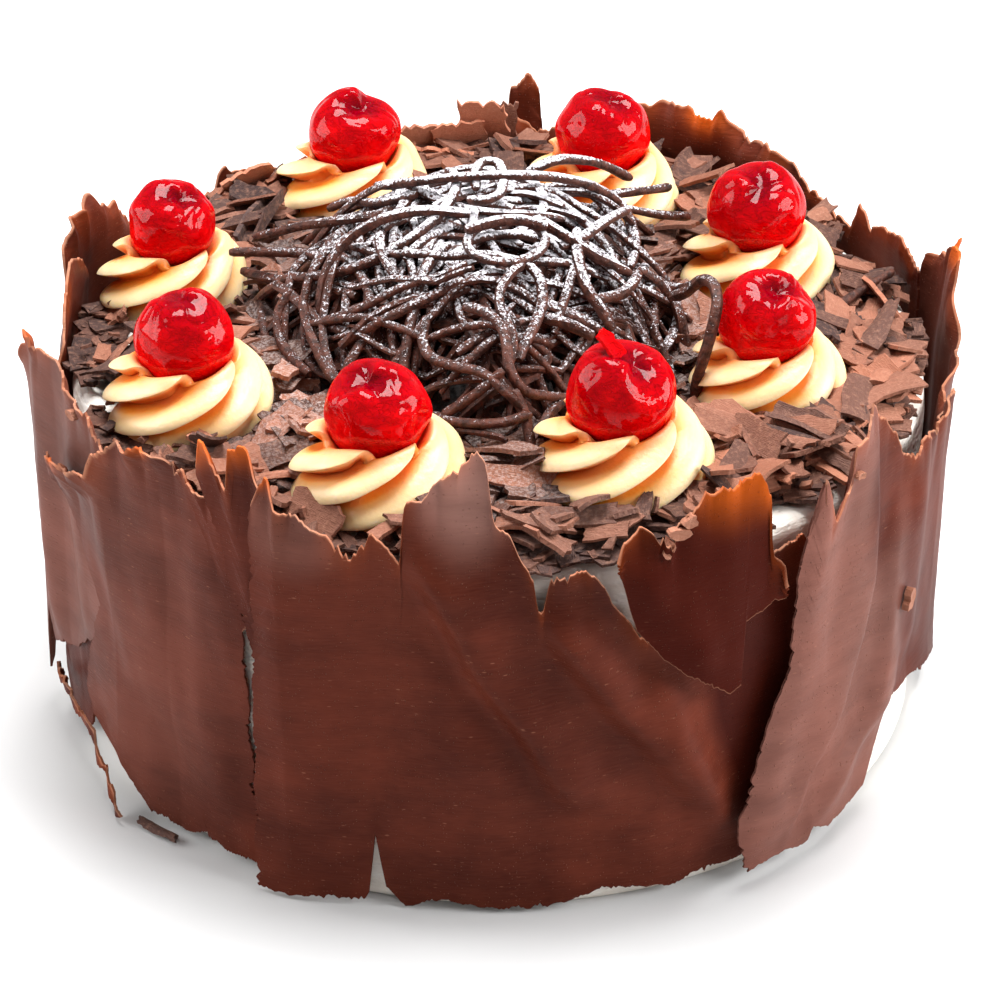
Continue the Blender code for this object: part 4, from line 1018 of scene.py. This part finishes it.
# Strands that the photograph shows one by one: points in mm from the nest's foot
SHOWN_STRANDS = {
    "big_arc": ((-33, -15.4, 14), (-31.3, -11.6, 22), (-27.8, -7.8, 26.6), (-21.5, -5.8, 30.4),
                (-13.8, -3.9, 32), (-6.7, -3.7, 32.2), (-1.1, -3.8, 31.4)),
    "high_arc": ((-21.4, 16.1, 28), (-12.6, 7.7, 33.3), (-2.6, 6.1, 35.3), (9.4, 5.6, 35.9),
                 (18.7, 9.2, 33.3), (26.7, 14.7, 27.8), (32.2, 18, 21.5), (34, 12, 18.8),
                 (32.7, -6.6, 20)),
    "back_arc": ((10.9, 12.3, 33), (15.9, 13.3, 35.2), (22.4, 18.8, 32.9), (28.4, 25.6, 27.9),
                 (33.7, 30.4, 22.6)),
    "ring": ((7, -9, 32.6), (2.8, -9.5, 32.4), (-0.4, -12.2, 31.8), (-1.6, -17.2, 31.2),
             (0.4, -21.4, 30.8), (4.5, -23.1, 30.4), (10.1, -20.6, 29.6), (13.9, -16.4, 29.8),
             (14.5, -11.6, 30.8), (11.4, -9, 32.2)),
    "ring_bar": ((-2, -15, 33.6), (4.5, -12.4, 34.2), (9.4, -11.2, 33.9), (15, -11.4, 32.4)),
    "small_ring": ((0.2, 4, 33.4), (-0.1, 8.6, 35.2), (2, 12.5, 35.7), (4.5, 12.4, 35.5),
                   (5.6, 9.3, 34.9), (5.8, 3.9, 34.8), (4.5, -1.3, 34.4), (1.7, -2.4, 33.9),
                   (-1.5, -1, 33.4)),
    "loop_left": ((10, -20.9, 28.8), (6.9, -25.9, 28.4), (5.1, -30.6, 27), (5.5, -35, 24.8),
                  (7.6, -38.5, 22), (7.9, -41.5, 19.8), (6.9, -44.6, 18)),
    "loop_right": ((10.7, -20.5, 28.6), (13.2, -23.1, 26.9), (14, -26.4, 24.4), (12.8, -32.9, 22),
                   (10.3, -39.5, 20), (8.9, -43.2, 18.4)),
    "front_fall": ((-2.3, -32.2, 24.8), (1.8, -34.9, 25.1), (5.5, -38.3, 23.4), (6.6, -42.7, 21.2),
                   (7.2, -46.3, 17.8), (10, -47.7, 13.9), (14.8, -44.9, 10.9), (19.3, -40.1, 7.7)),
    "right_fall": ((21.4, -5.4, 28.5), (21.6, -16, 27.1), (23.1, -22, 23.9), (26.3, -25.3, 20.2),
                   (28.8, -27.8, 16.8)),
    "left_pair_high": ((-32.5, -20.7, 14.6), (-23.2, -25.3, 21), (-14.8, -24.7, 25.4), (-5.9, -23.7, 28),
                       (-1.6, -22.7, 29.8)),
    "left_pair_low": ((-28.1, -29.3, 14.1), (-19, -29.4, 20.1), (-9.3, -26.9, 24.2), (-2.4, -24.9, 27.2)),
    "over_left": ((-52.8, 6.1, 17.2), (-45.6, 4.3, 18.2), (-38.3, 3.8, 18.2), (-30.8, -5.0, 21.5)),
    "over_left_low": ((-50.4, 8.3, 11.5), (-44.2, 2.8, 12.5), (-34.5, -6.4, 16), (-24.8, -17.2, 19)),
    "left_long": ((-47.8, 13.6, 16.7), (-38.5, 11.0, 20.7), (-29.6, 5.2, 25.2), (-20.3, 0.8, 29)),
    "right_outer": ((34.2, -5.7, 19.5), (40, -4.7, 14.5), (43.2, -7.6, 9.8), (45.1, -11.1, 3)),
    "front_low": ((-9.2, -46.6, 7.5), (-2.3, -52.4, 8.9), (5.9, -55.9, 11), (11.3, -51.5, 10.4)),
    "front_cross": ((-6.4, -48.8, 8.5), (0.4, -49.1, 13.9), (5.9, -47, 18.2)),
    "front_out": ((7.9, -48.8, 14.5), (10, -51.4, 10.8), (11.3, -55.3, 6.5), (11.8, -58.2, 2.5)),
    "left_droop": ((-39.2, -9.5, 16.4), (-41.7, -13, 12.4), (-41.2, -17.4, 8.9), (-38.3, -22.8, 7.3),
                   (-34.5, -29.5, 7.2)),
    "left_inner_droop": ((-36.6, -12.7, 16.5), (-35.4, -18.6, 13.5), (-32.3, -28.8, 11.3),
                         (-29.3, -35.9, 9.2)),
    "front_curl": ((-10, -30, 21.2), (-10.8, -34.2, 18.3), (-9.8, -37.7, 16.8), (-5, -42.1, 16.6),
                   (1.8, -46.7, 17.2), (6.6, -50.4, 14.7), (9.4, -51.5, 12)),
    "back_right": ((26, 18, 24.5), (32.0, 23.2, 22.7), (38.0, 26.6, 21.7), (42.5, 30.0, 20.7)),
    "back_right_low": ((28, 18, 22.5), (34.1, 20.9, 19.7), (40.1, 23.4, 17.3), (46.8, 25.8, 15.5)),
    "right_end": ((37, -1, 15), (42.9, -4.0, 14), (45.6, -6.0, 15.7), (48.2, -7.5, 17.7)),
    "left_back": ((-32, 21, 20), (-28.0, 18.9, 22.7), (-20.5, 10.2, 27), (-12.5, 7.2, 30.5)),
    "mid_low": ((14.2, -29.5, 20.9), (20.4, -29.5, 18.6), (24.6, -30.1, 16.5)),
    "small_loop": ((25.3, -23.6, 21.7), (31.1, -16.4, 19.5), (33.7, -9.6, 19), (34.3, -6.8, 19)),
    "cross_mid": ((13.6, -8.5, 32.5), (19.2, -10.9, 29.8), (25.5, -11.4, 25.4), (32.7, -8.8, 20)),
    "cross_right": ((18, -12, 28), (22.7, -8.3, 28.5), (27.0, -2.4, 28.7), (32.5, 9.8, 25.5)),
    "front_right": ((19, -40.5, 8.2), (15.4, -47.1, 8), (13.4, -51.4, 6.6), (9.9, -56.9, 5.1)),
    "leaning": ((41.4, -15.0, 17.7), (44.1, -18.3, 20.7), (46.9, -19.1, 23.7), (49.2, -23.7, 25.7),
                (50.0, -30.5, 24.7), (48.5, -34.1, 18.7), (46.6, -34.7, 11.2), (45.9, -31.1, 2.7)),
    "stray": ((77.3, 1.7, 6), (84.4, 9.8, 6.4), (91.0, 16.7, 6.7)),
}


def shown_paths(points=26):
    """The listed strands as smooth curves, evenly sampled."""
    curves = []
    for listed in SHOWN_STRANDS.values():
        listed = np.array(listed, float)
        along = np.concatenate([[0], np.cumsum(np.linalg.norm(np.diff(listed, axis=0), axis=1))])
        curves.append(flowing(along, listed, np.linspace(0, along[-1], points)))
    return np.array(curves)


def sugar_share(points):
    """How much icing sugar fell here: most a little behind the middle of the nest."""
    x, y = (points[:, :2] - NEST_FOOT[:2]).T / MM
    out = np.hypot(x - SUGAR_SPOT_MM[0], y - SUGAR_SPOT_MM[1])
    return np.clip(SUGAR_MOST - out / SUGAR_REACH_MM, 0.0, 1.0)


def make_strands(finish, sugar):
    """The layers of random strands, the listed ones, and the sugar on all but the deep ones."""
    rng = np.random.default_rng(53)
    laid = []
    for name, count, deep, shallow, seed, sides, length, reached in STRAND_LAYERS:
        paths = strand_paths(count * 4, seed, deep, shallow, length)
        x, y = paths[..., 0], paths[..., 1]
        inside = (np.hypot(x, y) < nest_reach(x, y) + 3.0).all(axis=1)
        paths = paths[inside & clear_of_rosettes(paths)][:count]
        wide = rng.uniform(*STRAND_WIDTH_MM, len(paths))
        laid.append((paths, wide, wide * rng.uniform(0.6, 1.0, len(paths)), name, sides, reached))
    paths = shown_paths()
    wide = rng.uniform(*SHOWN_WIDTH_MM, len(paths))
    laid.append((paths, wide, wide * rng.uniform(0.75, 0.95, len(paths)), "looped_strands", 10, 1.0))
    for paths, wide, tall, name, sides, reached in laid:
        points, faces = tubes(paths + NEST_FOOT / MM, wide, tall, rng.uniform(-2.5, 2.5, len(paths)), sides)
        add_piece(name, points, faces, finish, ("strand_nest",),
                  {"sugar": reached * sugar_share(points)}, None, 50)
    scatter_sugar(laid[1:], sugar)


def scatter_sugar(laid, finish):
    """Grains on the strands: each an octahedron of uneven size, at a random place along a strand and at
    a random turn from its top, sunk to its middle."""
    rng = np.random.default_rng(57)
    paths = [layer[0][:, np.linspace(1, layer[0].shape[1] - 2, 22).astype(int)] for layer in laid]
    paths = np.concatenate(paths)
    wide, tall = (np.concatenate([layer[part] for layer in laid]) for part in (1, 2))
    which = rng.integers(0, len(paths), GRAIN_COUNT)
    spot = rng.integers(0, 21, GRAIN_COUNT)
    share = rng.uniform(0, 1, (GRAIN_COUNT, 1))
    start, end = paths[which, spot], paths[which, spot + 1]
    centre = (1 - share) * start + share * end
    side, over = beside(end - start)
    turn = rng.normal(0, 0.7, GRAIN_COUNT)
    out = 0.5 * np.minimum(wide, tall)[which][:, None]
    centre = centre + out * (np.sin(turn)[:, None] * side + np.cos(turn)[:, None] * over)
    kept = rng.uniform(0, 1, GRAIN_COUNT) < sugar_share((centre + NEST_FOOT / MM) * MM) ** 1.5
    centre = centre[kept]
    size = rng.uniform(*GRAIN_MM, (len(centre), 1, 1))
    corners = np.array([(1, 0, 0), (0, 1, 0), (-1, 0, 0), (0, -1, 0), (0, 0, 1), (0, 0, -1)], float)
    points = centre[:, None] + NEST_FOOT / MM + size * corners * rng.uniform(0.7, 1.3, (len(centre), 1, 3))
    faces = np.array([(0, 1, 4), (1, 2, 4), (2, 3, 4), (3, 0, 4), (1, 0, 5), (2, 1, 5), (3, 2, 5),
                      (0, 3, 5)])
    faces = (faces[None] + 6 * np.arange(len(centre))[:, None, None]).reshape(-1, 3)
    add_piece("icing_sugar", points * MM, faces.tolist(), finish, (), None, None, 30)


def make_nest_core(finish):
    """The heap under the strands: its level turned round, sunk and roughened."""
    share, around = np.linspace(0.01, 0.97, 60), np.linspace(0, 2 * math.pi, 150, endpoint=False)
    share, around = np.meshgrid(share, around, indexing="ij")
    distance = share * nest_reach(np.cos(around), np.sin(around))
    x, y = distance * np.cos(around), distance * np.sin(around)
    level = nest_level(x, y) - 11.0 + 1.0 * ripple(61, 5.0, x, y) + 0.6 * ripple(62, 2.4, x, y)
    level = np.maximum(level, 0.4)
    points = np.stack([x, y, level], axis=-1) * MM + NEST_FOOT
    points = np.concatenate([points, points[-1:]])
    points[-1, :, 2] = TOP
    add_piece("nest_heap", points, turned_faces(*points.shape[:2], reverse=True), finish,
              ("strand_nest",))


def make_cream(finish):
    """The cream coat: the cake's outline turned round, with the marks of a spatula."""
    height = (CAKE_HIGH[2] - CAKE_LOW[2]) / MM
    top, radius = TOP / MM - 0.3, CAKE_RADIUS / MM - 0.2  # a little inside the solid
    outline = [(0.2, 0.0), (40, 0.0), (80, 0.0), (radius - 1.5, 0.0), (radius - 0.4, 0.5), (radius, 1.6)]
    outline += [(radius, h) for h in np.linspace(4, top - 4.0, 40)]
    rim = np.linspace(0.15, math.pi / 2, 8)
    outline += [(radius - 4 + 4 * math.cos(a), top - 4 + 4 * math.sin(a)) for a in rim]
    outline += [(r, top) for r in np.linspace(radius - 6, 0.2, 60)]
    out, up = np.array(outline).T[:, :, None]
    around = np.linspace(0, 2 * math.pi, 360, endpoint=False)[None, :]
    x, y = out * np.cos(around), out * np.sin(around)
    side_marks = 0.35 * ripple(81, 30.0, x * 0.4, y * 0.4, up * 2.2 + 0 * x) * smooth((up - 3) / 6) - 0.3
    on_top = smooth((up - top + 1.5) / 1.0) * smooth((radius - out) / 8.0)
    top_marks = (0.5 * ripple(82, 16.0, x, y) + 0.2 * ripple(83, 5.0, x, y) - 0.4) * on_top
    side_marks = side_marks * (1 - on_top) * (out > radius - 5)
    points = turned(out + side_marks, around, np.minimum(up + top_marks, height)) * MM
    add_piece("cream_coat", points, turned_faces(*x.shape), finish, ("cake",), None, None, 60)


# Chips stuck on the sheets: sheet, degrees, mm up, and half of their width and height in mm
CHIPS = (("sheet_right", 331.7, 46, 1.7, 2.4), ("patch_front_right", 289.0, 89.6, 1.1, 2.1),
         ("patch_front_right", 290.2, 92.4, 2.4, 1.0), ("patch_front_right", 291.5, 94.4, 1.3, 1.4),
         ("sheet_right", 316.5, 90, 1.2, 0.8), ("sheet_left", 205, 88, 1.6, 0.9),
         ("sheet_back", 101, 60, 1.5, 1.1))

# Where the white cream shows between the flakes: x, y and reach in mm, from the cake's middle
BARE_SPOTS = ((-80, 22, 3.5), (-79, -6, 3), (-84, -22, 3), (78, 42, 4), (86, 12, 4), (57, -69, 3),
              (30, -87, 4))
# Long rolled shavings at the right front: x, y, degrees, length, width and mm up
BATONS = ((44, -42, -32, 30, 6, 3.2), (53, -47, -38, 27, 6, 4.8), (63, -34, -24, 24, 7, 4.2),
          (57, -33, 68, 17, 7, 2.6), (69, -39, 75, 19, 8, 2.4), (50, -57, -46, 24, 6, 3.0),
          (75, -22, 64, 18, 7, 3.2), (64, -48, -30, 20, 5, 3.0), (80, 4, 80, 18, 6, 3.2))


def flake_places(count, seed, smallest, largest, overlap):
    """Random places for flakes on the cream: clear of the rosettes, the nest and the bare spots."""
    rng = np.random.default_rng(seed)
    angle = rng.uniform(0, 2 * math.pi, count * 12)
    distance = (FLAKES_REACH_MM - 0.6) * np.sqrt(rng.uniform(0.12, 1.0, count * 12))
    size = rng.uniform(smallest, largest, count * 12)
    place = turned(distance, angle, 0.0)[:, :2]
    free = distance + overlap * size < FLAKES_REACH_MM
    free &= away(place, TOPPING_CENTRE / MM) > NEST_CLEAR_MM + 0.2 * size
    for low, high in ROSETTE_BOXES:
        free &= away(place, 0.5 * (low + high)[:2] / MM) > ROSETTE_CLEAR_MM + overlap * size
    for x, y, reach in BARE_SPOTS:
        free &= away(place, (x, y)) > reach + 0.35 * size
    return place[free][:count], size[free][:count]


def turns_about(axis, angles):
    """Matrices that turn about x, y or z, one for each angle."""
    first, second = (axis + 1) % 3, (axis + 2) % 3
    turns = np.zeros((len(angles), 3, 3))
    turns[:, axis, axis] = 1.0
    turns[:, first, first] = turns[:, second, second] = np.cos(angles)
    turns[:, second, first], turns[:, first, second] = np.sin(angles), -np.sin(angles)
    return turns


def flake_mesh(place, lift, size, width, heading, tilt, lean, curl, thick, seed, grid):
    """Flakes: each an uneven oblong grid, rolled about its long axis by its curl, and given a thickness.
    All are worked out at once."""
    rng = np.random.default_rng(seed)
    count = len(size)
    rows, columns = grid
    size, width, curl = (value[:, None, None] for value in (size, width, curl))
    a, b = (side[None] for side in np.meshgrid(np.linspace(-1, 1, columns), np.linspace(-1, 1, rows)))
    ragged = rng.uniform(-1, 1, (count, rows, columns))
    sway = rng.uniform(-0.3, 0.3, (count, 1, 1))
    narrow = 1 - rng.uniform(0.0, 0.5, (count, 1, 1)) * (0.5 + 0.5 * a)
    along = 0.5 * size * (a * (1 + 0.10 * ragged) + 0.12 * b * rng.uniform(-1, 1, (count, 1, 1)))
    cross = 0.5 * width * (b * narrow * (1 + 0.20 * np.roll(ragged, 1, axis=0)) + sway * (1 - a * a))
    roll = cross * curl
    safe = np.where(np.abs(curl) < 1e-4, 1e-4, curl)
    up = (1 - np.cos(roll)) / safe + 0.12 * np.abs(ragged) - 0.006 * along * along * np.sign(safe)
    middle = np.stack([along, np.sin(roll) / safe, up], axis=-1)
    half = 0.5 * thick[:, None, None, None] * np.stack([0 * roll, -np.sin(roll), np.cos(roll)], axis=-1)
    slab = np.stack([middle + half, middle - half], axis=1)
    turn = turns_about(2, heading) @ turns_about(1, lean) @ turns_about(0, tilt)
    points = np.einsum("nij,nskmj->nskmi", turn, slab)
    lowest = points[..., 2].reshape(count, -1).min(axis=1)
    points[..., 2] += (np.maximum(lift, 0.2) - lowest)[:, None, None, None]
    points[..., :2] += place[:, None, None, None, :]
    faces = slab_faces(rows, columns)
    first = np.arange(count) * 2 * rows * columns
    faces = (faces[None] + first[:, None, None]).reshape(-1, 4)
    uv = np.stack([along, cross], axis=-1)[:, None]
    uv = np.tile(uv * MM + rng.uniform(0, 1, (count, 1, 1, 1, 2)), (1, 2, 1, 1, 1))
    return points.reshape(-1, 3), faces, uv.reshape(-1, 2), 2 * rows * columns


def lone_flake(name, spot, measures, turns, curl, seed, grid, finish, values, sharp):
    """A flake in a piece of its own: its spot and its length, width and thickness in mm, and its heading
    and lean in degrees."""
    x, y, lift, length, width, thick, curl = np.array([[*spot, *measures, curl]]).T
    heading, lean = np.radians(turns)[:, None]
    points, faces, uv, each = flake_mesh(np.stack([x, y], axis=-1), lift, length, width, heading,
                                         np.zeros(1), lean, curl, thick, seed, grid)
    add_piece(name, points * MM, faces.tolist(), finish, (),
              {key: np.full(each, value) for key, value in values.items()}, uv, sharp)


def spots(place, listed):
    """The sum of the listed spots' strengths, each a bell curve over its reach."""
    return sum(strength * bell(away(place, spot) / reach) for spot, reach, strength in listed)


def dusting(place):
    """Share of icing sugar on a flake: a little near the nest, more at two spots at the front."""
    near = 0.01 + 0.35 * bell((away(place, TOPPING_CENTRE / MM) - 42) / 9.0)
    return np.clip(near + spots(place, DUST_SPOTS), 0, 1)


def scatter(name, finish, place, lift, size, width, curl, thick, seed, steep, grid, tone, heading=None):
    """One piece of many flakes, each with its own tone and dusting. Painted light makes those at the right
    front the palest, and those at the left front come next."""
    rng = np.random.default_rng(seed)
    count = len(size)
    if heading is None:
        heading = rng.uniform(0, 2 * math.pi, count)
    tilt, lean = rng.normal(0, steep, count), rng.normal(0, 0.7 * steep, count)
    points, faces, uv, each = flake_mesh(place, lift, size, width, heading, tilt, lean, curl, thick,
                                         seed + 1, grid)
    points = points + np.array([0, 0, TOP / MM])
    # painted light: every tone is scaled by it, most at the lit spots
    lit = 0.6 + spots(place, LIT_SPOTS)
    tone = np.repeat(tone[0] + (tone[1] - tone[0]) * rng.uniform(0, 1, count) ** 1.3 * lit, each)
    sugar = np.repeat(dusting(place), each)
    add_piece(name, points * MM, faces.tolist(), finish, ("cake",),
              {"tone": tone, "sugar": sugar}, uv, 40)


# Flakes that stand up, most of them behind the nest: degrees, mm from the middle, mm up, turn from the
# rim's own direction, tilt, length, width and tone
STANDING_FLAKES = ((104, 86, 3, 10, 62, 13, 9, 0.7), (99.5, 84, 1, -20, 40, 16, 9, 1.1),
                   (96, 87, 2, 5, 66, 12, 9, 1.1), (92.5, 87, 5, -8, 72, 11, 11, 1.2),
                   (89.4, 88, 5, 4, 82, 6, 10, 0.35), (108, 84, 1, 25, 50, 12, 7, 0.8),
                   (126, 86, 1, 12, 56, 12, 8, 0.9), (132, 87, 2, -6, 58, 13, 9, 1.0),
                   (137, 84, 0, 30, 44, 14, 8, 0.8), (148, 85, 1, -14, 52, 15, 8, 0.6),
                   (90, 80, 0, 15, 40, 14, 8, 0.7), (43, 84, 1, 8, 52, 15, 9, 0.8),
                   (34, 82, 0, -20, 46, 14, 8, 0.9), (172, 84, 0, 12, 48, 12, 7, 0.6),
                   (186, 82, 0, -25, 44, 13, 6, 0.5), (222, 86, 0, 10, 55, 13, 7, 0.5),
                   (244, 85, 0, -18, 50, 14, 8, 0.5), (8, 84, 1, 12, 50, 16, 8, 0.8))


def make_standing_flakes(finish):
    """The listed flakes, in one piece."""
    degrees, distance, lift, turn, tilt, length, width, tone = np.array(STANDING_FLAKES, float).T
    angle = np.radians(degrees)
    place = turned(distance, angle, 0.0)[:, :2]
    count = len(STANDING_FLAKES)
    heading = angle + math.radians(90.0) + np.radians(turn)
    points, faces, uv, each = flake_mesh(place, lift, length, width, heading, np.radians(tilt),
                                         np.zeros(count), np.full(count, 0.05), np.full(count, 0.9),
                                         111, (9, 12))
    points = points + np.array([0, 0, TOP / MM])
    add_piece("standing_flakes", points * MM, faces.tolist(), finish, ("cake",),
              {"tone": np.repeat(tone, each), "sugar": np.zeros(count * each)}, uv, 40)


def make_flakes(finish):
    """A bed of small flakes that covers the cream, larger ones over it, crumbs, and the long shavings."""
    rng = np.random.default_rng(90)
    for layer in FLAKE_LAYERS:
        name, count, places, sizes, overlap, lift, width, curl, thick, seed, steep, grid, tone = layer
        place, size = flake_places(count, places, *sizes, overlap)
        count = len(size)
        scatter(name, finish, place, rng.uniform(*lift, count), size, size * rng.uniform(*width, count),
                rng.normal(0, curl, count), rng.uniform(*thick, count), seed, steep, grid, tone)
    x, y, degrees, length, width, lift = np.array(BATONS, float).T
    count = len(BATONS)
    scatter("rolled_shavings", finish, np.stack([x, y], axis=-1), lift, length, width,
            np.full(count, -0.30), np.full(count, 1.0), 98, 0.10, (9, 14), (0.45, 1.0), np.radians(degrees))


def make_loose_stick(finish):
    """A thin stick of chocolate that has dropped beside the cake's foot."""
    lone_flake("loose_stick", (-72.2, -65.7, 0.3), (10.5, 2.0, 1.0), (-40.0, 0.0), -0.8,
               121, (7, 12), finish, {"tone": 0.1, "sugar": 0.0}, 40)


def make_chips(finish):
    """Small chips stuck on the sheets: each an uneven disc, bent to the sheet it lies on."""
    turn, share = np.meshgrid(np.linspace(0, 2 * math.pi, 15)[:-1], np.linspace(0.05, 1.0, 4),
                              indexing="ij")
    points = []
    for number, (sheet, degrees, height, across, up) in enumerate(CHIPS):
        rough = 1 + 0.22 * ripple(620 + number, 1.6, np.cos(turn), np.sin(turn))
        chip_degrees = degrees + across * share * rough * np.cos(turn) / MM_PER_DEGREE
        chip_height = height + up * share * rough * np.sin(turn)
        out = stand_off(SHEETS[sheet], chip_degrees, chip_height) + SHEET_GAP_MM + SHEET_THICKNESS_MM
        for lift in (1.0 + 0.3 * share, -0.3):
            points.append(turned(CAKE_RADIUS / MM + out + lift, np.radians(chip_degrees), chip_height))
    rows, columns = turn.shape
    behind = rows * columns
    near, far = np.arange(rows) * columns, (np.arange(rows) + 1) % rows * columns
    bands = []
    for column in range(columns - 1):
        a, b = near + column, far + column
        bands += [(a, a + 1, b + 1, b), (b + behind, b + 1 + behind, a + 1 + behind, a + behind)]
    a, b = near + columns - 1, far + columns - 1
    bands += [(a, a + behind, b + behind, b), (far, far + behind, near + behind, near)]
    disc = np.concatenate([np.stack(band, axis=-1) for band in bands])
    faces = (disc[None] + 2 * behind * np.arange(len(CHIPS))[:, None, None]).reshape(-1, 4)
    points = np.array(points).reshape(-1, 3)
    values = {"tone": np.full(len(points), 0.75), "sugar": np.zeros(len(points))}
    add_piece("stuck_chips", points * MM, faces, finish, (), values, points[:, [0, 2]] * MM,
              40)


def make_studio():
    """A pale floor, four soft lights and an even pale surround."""
    floor_look = Look("studio_floor")
    shade = floor_look.noise(floor_look.place(), 2.0)
    paper = floor_look.mix(shade * 0.2, colour(208, 208, 208), colour(202, 202, 202))
    size = 6.0
    mesh = bpy.data.meshes.new("studio_floor")
    mesh.from_pydata([(-size, -size, 0), (size, -size, 0), (size, size, 0), (-size, size, 0)], [],
                     [(0, 1, 2, 3)])
    mesh.materials.append(floor_look.finish(Base_Color=paper, Roughness=0.9 + 0.05 * shade))
    placed("studio_floor", mesh)
    world = bpy.data.worlds.new("studio_surround")
    world.use_nodes = True
    background = world.node_tree.nodes["Background"]
    background.inputs["Color"].default_value = (1.0, 1.0, 1.0, 1.0)
    background.inputs["Strength"].default_value = SURROUND_STRENGTH
    bpy.context.scene.world = world
    # Name, place, aimed at, size and watts
    lights = (
        ("top_light", (0.05, 0.25, 1.2), (0, 0, 0.05), 0.7, 32.0),
        ("left_light", (-1.0, 0.05, 0.45), (0, 0, 0.06), 0.7, 10.0),
        ("right_light", (1.0, -0.1, 0.5), (0, 0, 0.06), 0.6, 13.0),
        ("front_light", (0.9, -0.6, 0.8), (0, 0, 0.06), 0.3, 4.0),
    )
    for name, place, target, size, watts in lights:
        light = bpy.data.lights.new(name, "AREA")
        light.shape, light.size, light.energy = "SQUARE", size, watts
        lamp = placed(name, light)
        lamp.location = place
        aim = np.array(target) - np.array(place)
        aim /= np.linalg.norm(aim)
        lamp.rotation_euler = (math.acos(-aim[2]), 0.0, math.atan2(aim[1], aim[0]) - 0.5 * math.pi)


def make_camera():
    """The camera that the photograph was matched with."""
    data = bpy.data.cameras.new("camera")
    data.lens, data.sensor_width = CAMERA_LENS, 36.0
    camera = placed("camera", data)
    camera.location = CAMERA_PLACE
    camera.rotation_euler = (math.radians(90.0 - CAMERA_DOWN), 0.0, 0.0)
    bpy.context.scene.camera = camera


def main():
    bpy.context.scene.view_settings.view_transform = "Standard"
    make_camera()
    make_studio()
    make_cream(whipped_cream())
    chocolate = sheet_chocolate("sheet_chocolate", 0.06)
    dull_chocolate = sheet_chocolate("dull_chocolate", 0.02)
    for number, (name, sheet) in enumerate(SHEETS.items()):
        make_sheet(number, name, sheet, dull_chocolate if name == "patch_front_right" else chocolate)
    buttercream, cherry = rosette_buttercream(), glace_cherry()
    for number in ROSETTES:
        make_rosette(number, buttercream)
        make_cherry(number, cherry)
    make_skin_flap(cherry)
    make_nest_core(nest_shade())
    make_strands(strand_chocolate(), icing_sugar())
    shavings = flake_chocolate()
    make_flakes(shavings)
    make_standing_flakes(shavings)
    make_chips(shavings)
    make_loose_stick(shavings)


main()
